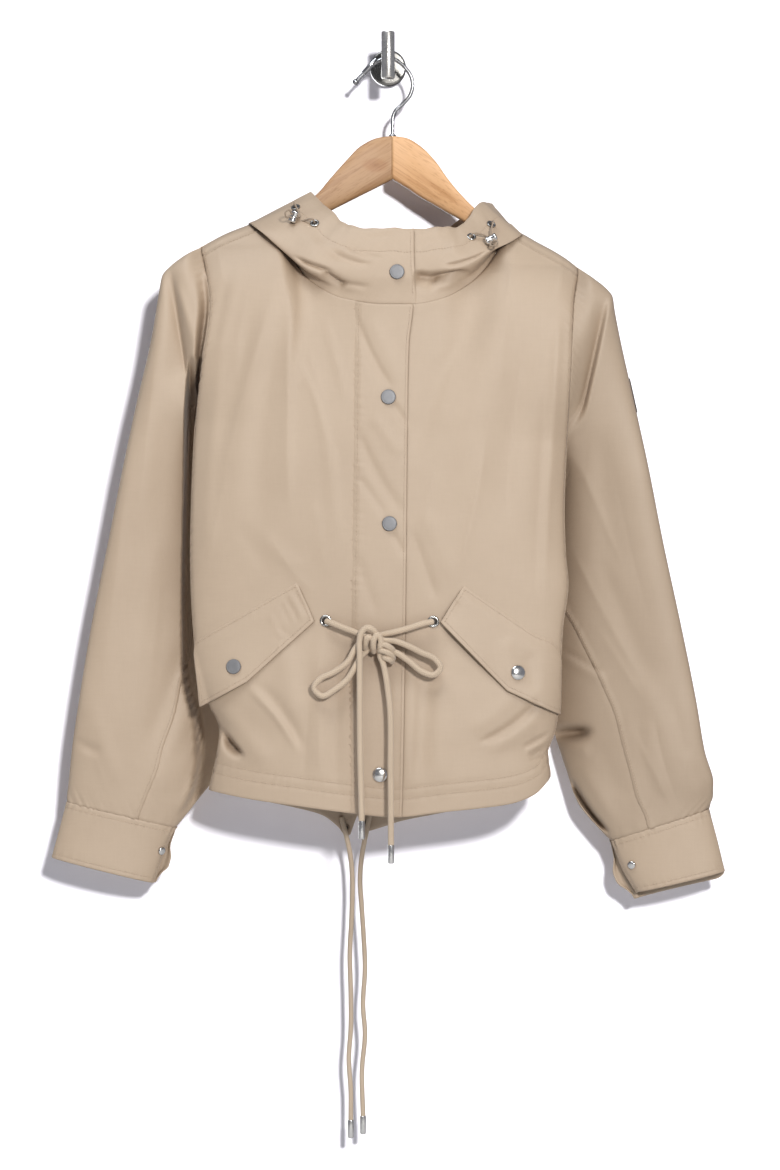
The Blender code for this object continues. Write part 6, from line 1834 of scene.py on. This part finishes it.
r, thick = PLATE["r"], PLATE["thick"]
plate_line = [(0, thick), (r - 3.0, thick), (r - 0.9, thick - 0.15), (r - 0.2, thick - 0.7), (r, thick - 1.4), (r, 0.25), (r - 0.25, 0.0), (0, 0.0)]
stem_line = [(0, -STEM["end"]), (STEM["r"], -STEM["end"]), (STEM["r"], thick + 0.9), (STEM["r"] + 0.9, thick), (STEM["r"], thick - 1.0), (0, thick - 1.0)]
half = (PEG["high"] - PEG["low"]) / 2
peg_line = [(0, half), (PEG["r"] - 1.0, half), (PEG["r"] - 0.25, half - 0.3), (PEG["r"], half - 1.0),
            (PEG["r"], 1.0 - half), (PEG["r"] - 0.25, 0.3 - half), (PEG["r"] - 1.0, -half), (0, -half)]
verts, faces = joined([lathe_parts(plate_line, (0, 0, 0), (0, -1, 0), 96),
                       lathe_parts(stem_line, (0, 0, STEM["z"]), (0, -1, 0), 40),
                       lathe_parts(peg_line, (0, PEG["y"], (PEG["high"] + PEG["low"]) / 2), (0, 0, 1), 64)])
piece(mesh_object("wall_hook_steel", verts, faces), STEEL, "steel", "wall_hook")

# ------------------------------------------------------------ thread
for group, parts in STITCHES.items():
    if parts:
        verts, faces = joined(parts)
        piece(mesh_object(f"stitches_{group}", verts, faces), THREAD, "shell_cloth")

# ------------------------------------------------------------ cut of the cloth
for obj, points in SHEETS:
    width = float(np.linalg.norm(np.diff(points, axis=0), axis=-1).sum(0).max()) * MM
    length = float(np.linalg.norm(np.diff(points, axis=1), axis=-1).sum(1).max()) * MM
    cell = np.cross(points[1:, :-1] - points[:-1, :-1], points[:-1, 1:] - points[:-1, :-1])
    area = float(np.linalg.norm(cell, axis=-1).sum()) * MM * MM
    width = min(width, area / (0.5 * length))

# ------------------------------------------------------------ room and light
def plane(name, corners, colour, rough):
    mesh = bpy.data.meshes.new(name)
    mesh.from_pydata(corners, [], [(0, 1, 2, 3)])
    obj = place(bpy.data.objects.new(name, mesh))
    m = Nodes(name)
    grain = m.noise(m.coords(), 18.0, 3.0, 0.5)
    m.set(Base_Color=m.ramp(grain, (0.3, shade(colour, 0.985)), (0.7, colour)), Roughness=m.span(grain, rough, rough + 0.05),
          Specular_IOR_Level=0.1)
    obj.data.materials.append(m.material)
    return obj, m


wall, wall_nodes = plane("studio_wall", [(-4, 0.0015, -1.6), (4, 0.0015, -1.6), (4, 0.0015, 3), (-4, 0.0015, 3)],
                         (0.93, 0.915, 0.975), 0.9)
facing = wall_nodes.add("ShaderNodeNewGeometry").outputs["Backfacing"]
clear = wall_nodes.add("ShaderNodeBsdfTransparent")
either = wall_nodes.add("ShaderNodeMixShader")
wall_nodes.link(facing, either.inputs["Fac"])
wall_nodes.link(wall_nodes.shader.outputs["BSDF"], either.inputs[1])
wall_nodes.link(clear.outputs["BSDF"], either.inputs[2])
wall_nodes.link(either.outputs["Shader"], wall_nodes.tree.nodes["Material Output"].inputs["Surface"])
wall.visible_diffuse = False
wall.visible_glossy = False
wall.visible_transmission = False
wall.visible_shadow = False
plane("studio_floor", [(-4, -6, -1.6), (4, -6, -1.6), (4, 2, -1.6), (-4, 2, -1.6)], (0.78, 0.77, 0.76), 0.8)

key_data = bpy.data.lights.new("key", "AREA")
key_data.shape = "DISK"
key_data.size = 0.74
key_data.energy = 280.0
key_data.color = (1.0, 0.985, 0.965)
key = place(bpy.data.objects.new("key", key_data))
key.location = (1.50, -6.0, 1.05)
key.rotation_euler = (Vector((0, 0, -0.5)) - Vector(key.location)).to_track_quat("-Z", "Y").to_euler()

wash_data = bpy.data.lights.new("wall_wash", "AREA")
wash_data.shape = "DISK"
wash_data.size = 0.62
wash_data.energy = 440.0
wash_data.color = (1.0, 0.99, 0.98)
wash = place(bpy.data.objects.new("wall_wash", wash_data))
wash.location = (1.25, -5.0, 1.20)
wash.rotation_euler = (Vector((0, 0, -0.5)) - Vector(wash.location)).to_track_quat("-Z", "Y").to_euler()
only_wall = bpy.data.collections.new("only_wall")
only_wall.objects.link(wall)
wash.light_linking.receiver_collection = only_wall
past_arm = bpy.data.collections.new("past_arm")
past_arm.objects.link(bpy.data.objects["wood_arm_r"])
past_arm.collection_objects[0].light_linking.link_state = "EXCLUDE"
wash.light_linking.blocker_collection = past_arm
all_but_wall = bpy.data.collections.new("all_but_wall")
all_but_wall.objects.link(wall)
all_but_wall.collection_objects[0].light_linking.link_state = "EXCLUDE"
key.light_linking.receiver_collection = all_but_wall

soft_data = bpy.data.lights.new("overhead", "AREA")
soft_data.shape = "RECTANGLE"
soft_data.size = 2.4
soft_data.size_y = 1.4
soft_data.energy = 92.0
soft_data.color = (0.90, 0.95, 1.0)
soft = place(bpy.data.objects.new("overhead", soft_data))
soft.location = (-0.9, -1.9, 2.9)
soft.light_linking.receiver_collection = all_but_wall
soft.rotation_euler = (Vector((0, 0, -0.45)) - Vector(soft.location)).to_track_quat("-Z", "Y").to_euler()

rear_data = bpy.data.lights.new("rear", "AREA")
rear_data.shape = "RECTANGLE"
rear_data.size = 2.0
rear_data.size_y = 2.0
rear_data.energy = 65.0
rear_data.color = (0.97, 0.98, 1.0)
rear = place(bpy.data.objects.new("rear", rear_data))
rear.location = (-1.2, 4.0, -0.4)
rear.light_linking.receiver_collection = all_but_wall
rear.rotation_euler = (Vector((0, 0, -0.45)) - Vector(rear.location)).to_track_quat("-Z", "Y").to_euler()

world = bpy.data.worlds.new("room")
bpy.context.scene.world = world
world.use_nodes = True
tree = world.node_tree
sky = tree.nodes["Background"]
way = tree.nodes.new("ShaderNodeTexCoord")
split = tree.nodes.new("ShaderNodeSeparateXYZ")
tree.links.new(way.outputs["Generated"], split.inputs["Vector"])
sideways = tree.nodes.new("ShaderNodeMath")
sideways.operation = "ABSOLUTE"
tree.links.new(split.outputs["X"], sideways.inputs[0])
ramp = tree.nodes.new("ShaderNodeValToRGB")
ramp.color_ramp.elements[0].position = 0.15
ramp.color_ramp.elements[0].color = (0.095, 0.098, 0.112, 1)
ramp.color_ramp.elements[1].position = 0.85
ramp.color_ramp.elements[1].color = (0.25, 0.255, 0.285, 1)
tree.links.new(sideways.outputs["Value"], ramp.inputs["Fac"])
tree.links.new(ramp.outputs["Color"], sky.inputs["Color"])
sky.inputs["Strength"].default_value = 1.0

view = bpy.context.scene.view_settings
view.view_transform = "Standard"
view.look = "None"
view.exposure = 0.0
view.gamma = 1.0

bpy.context.view_layer.update()
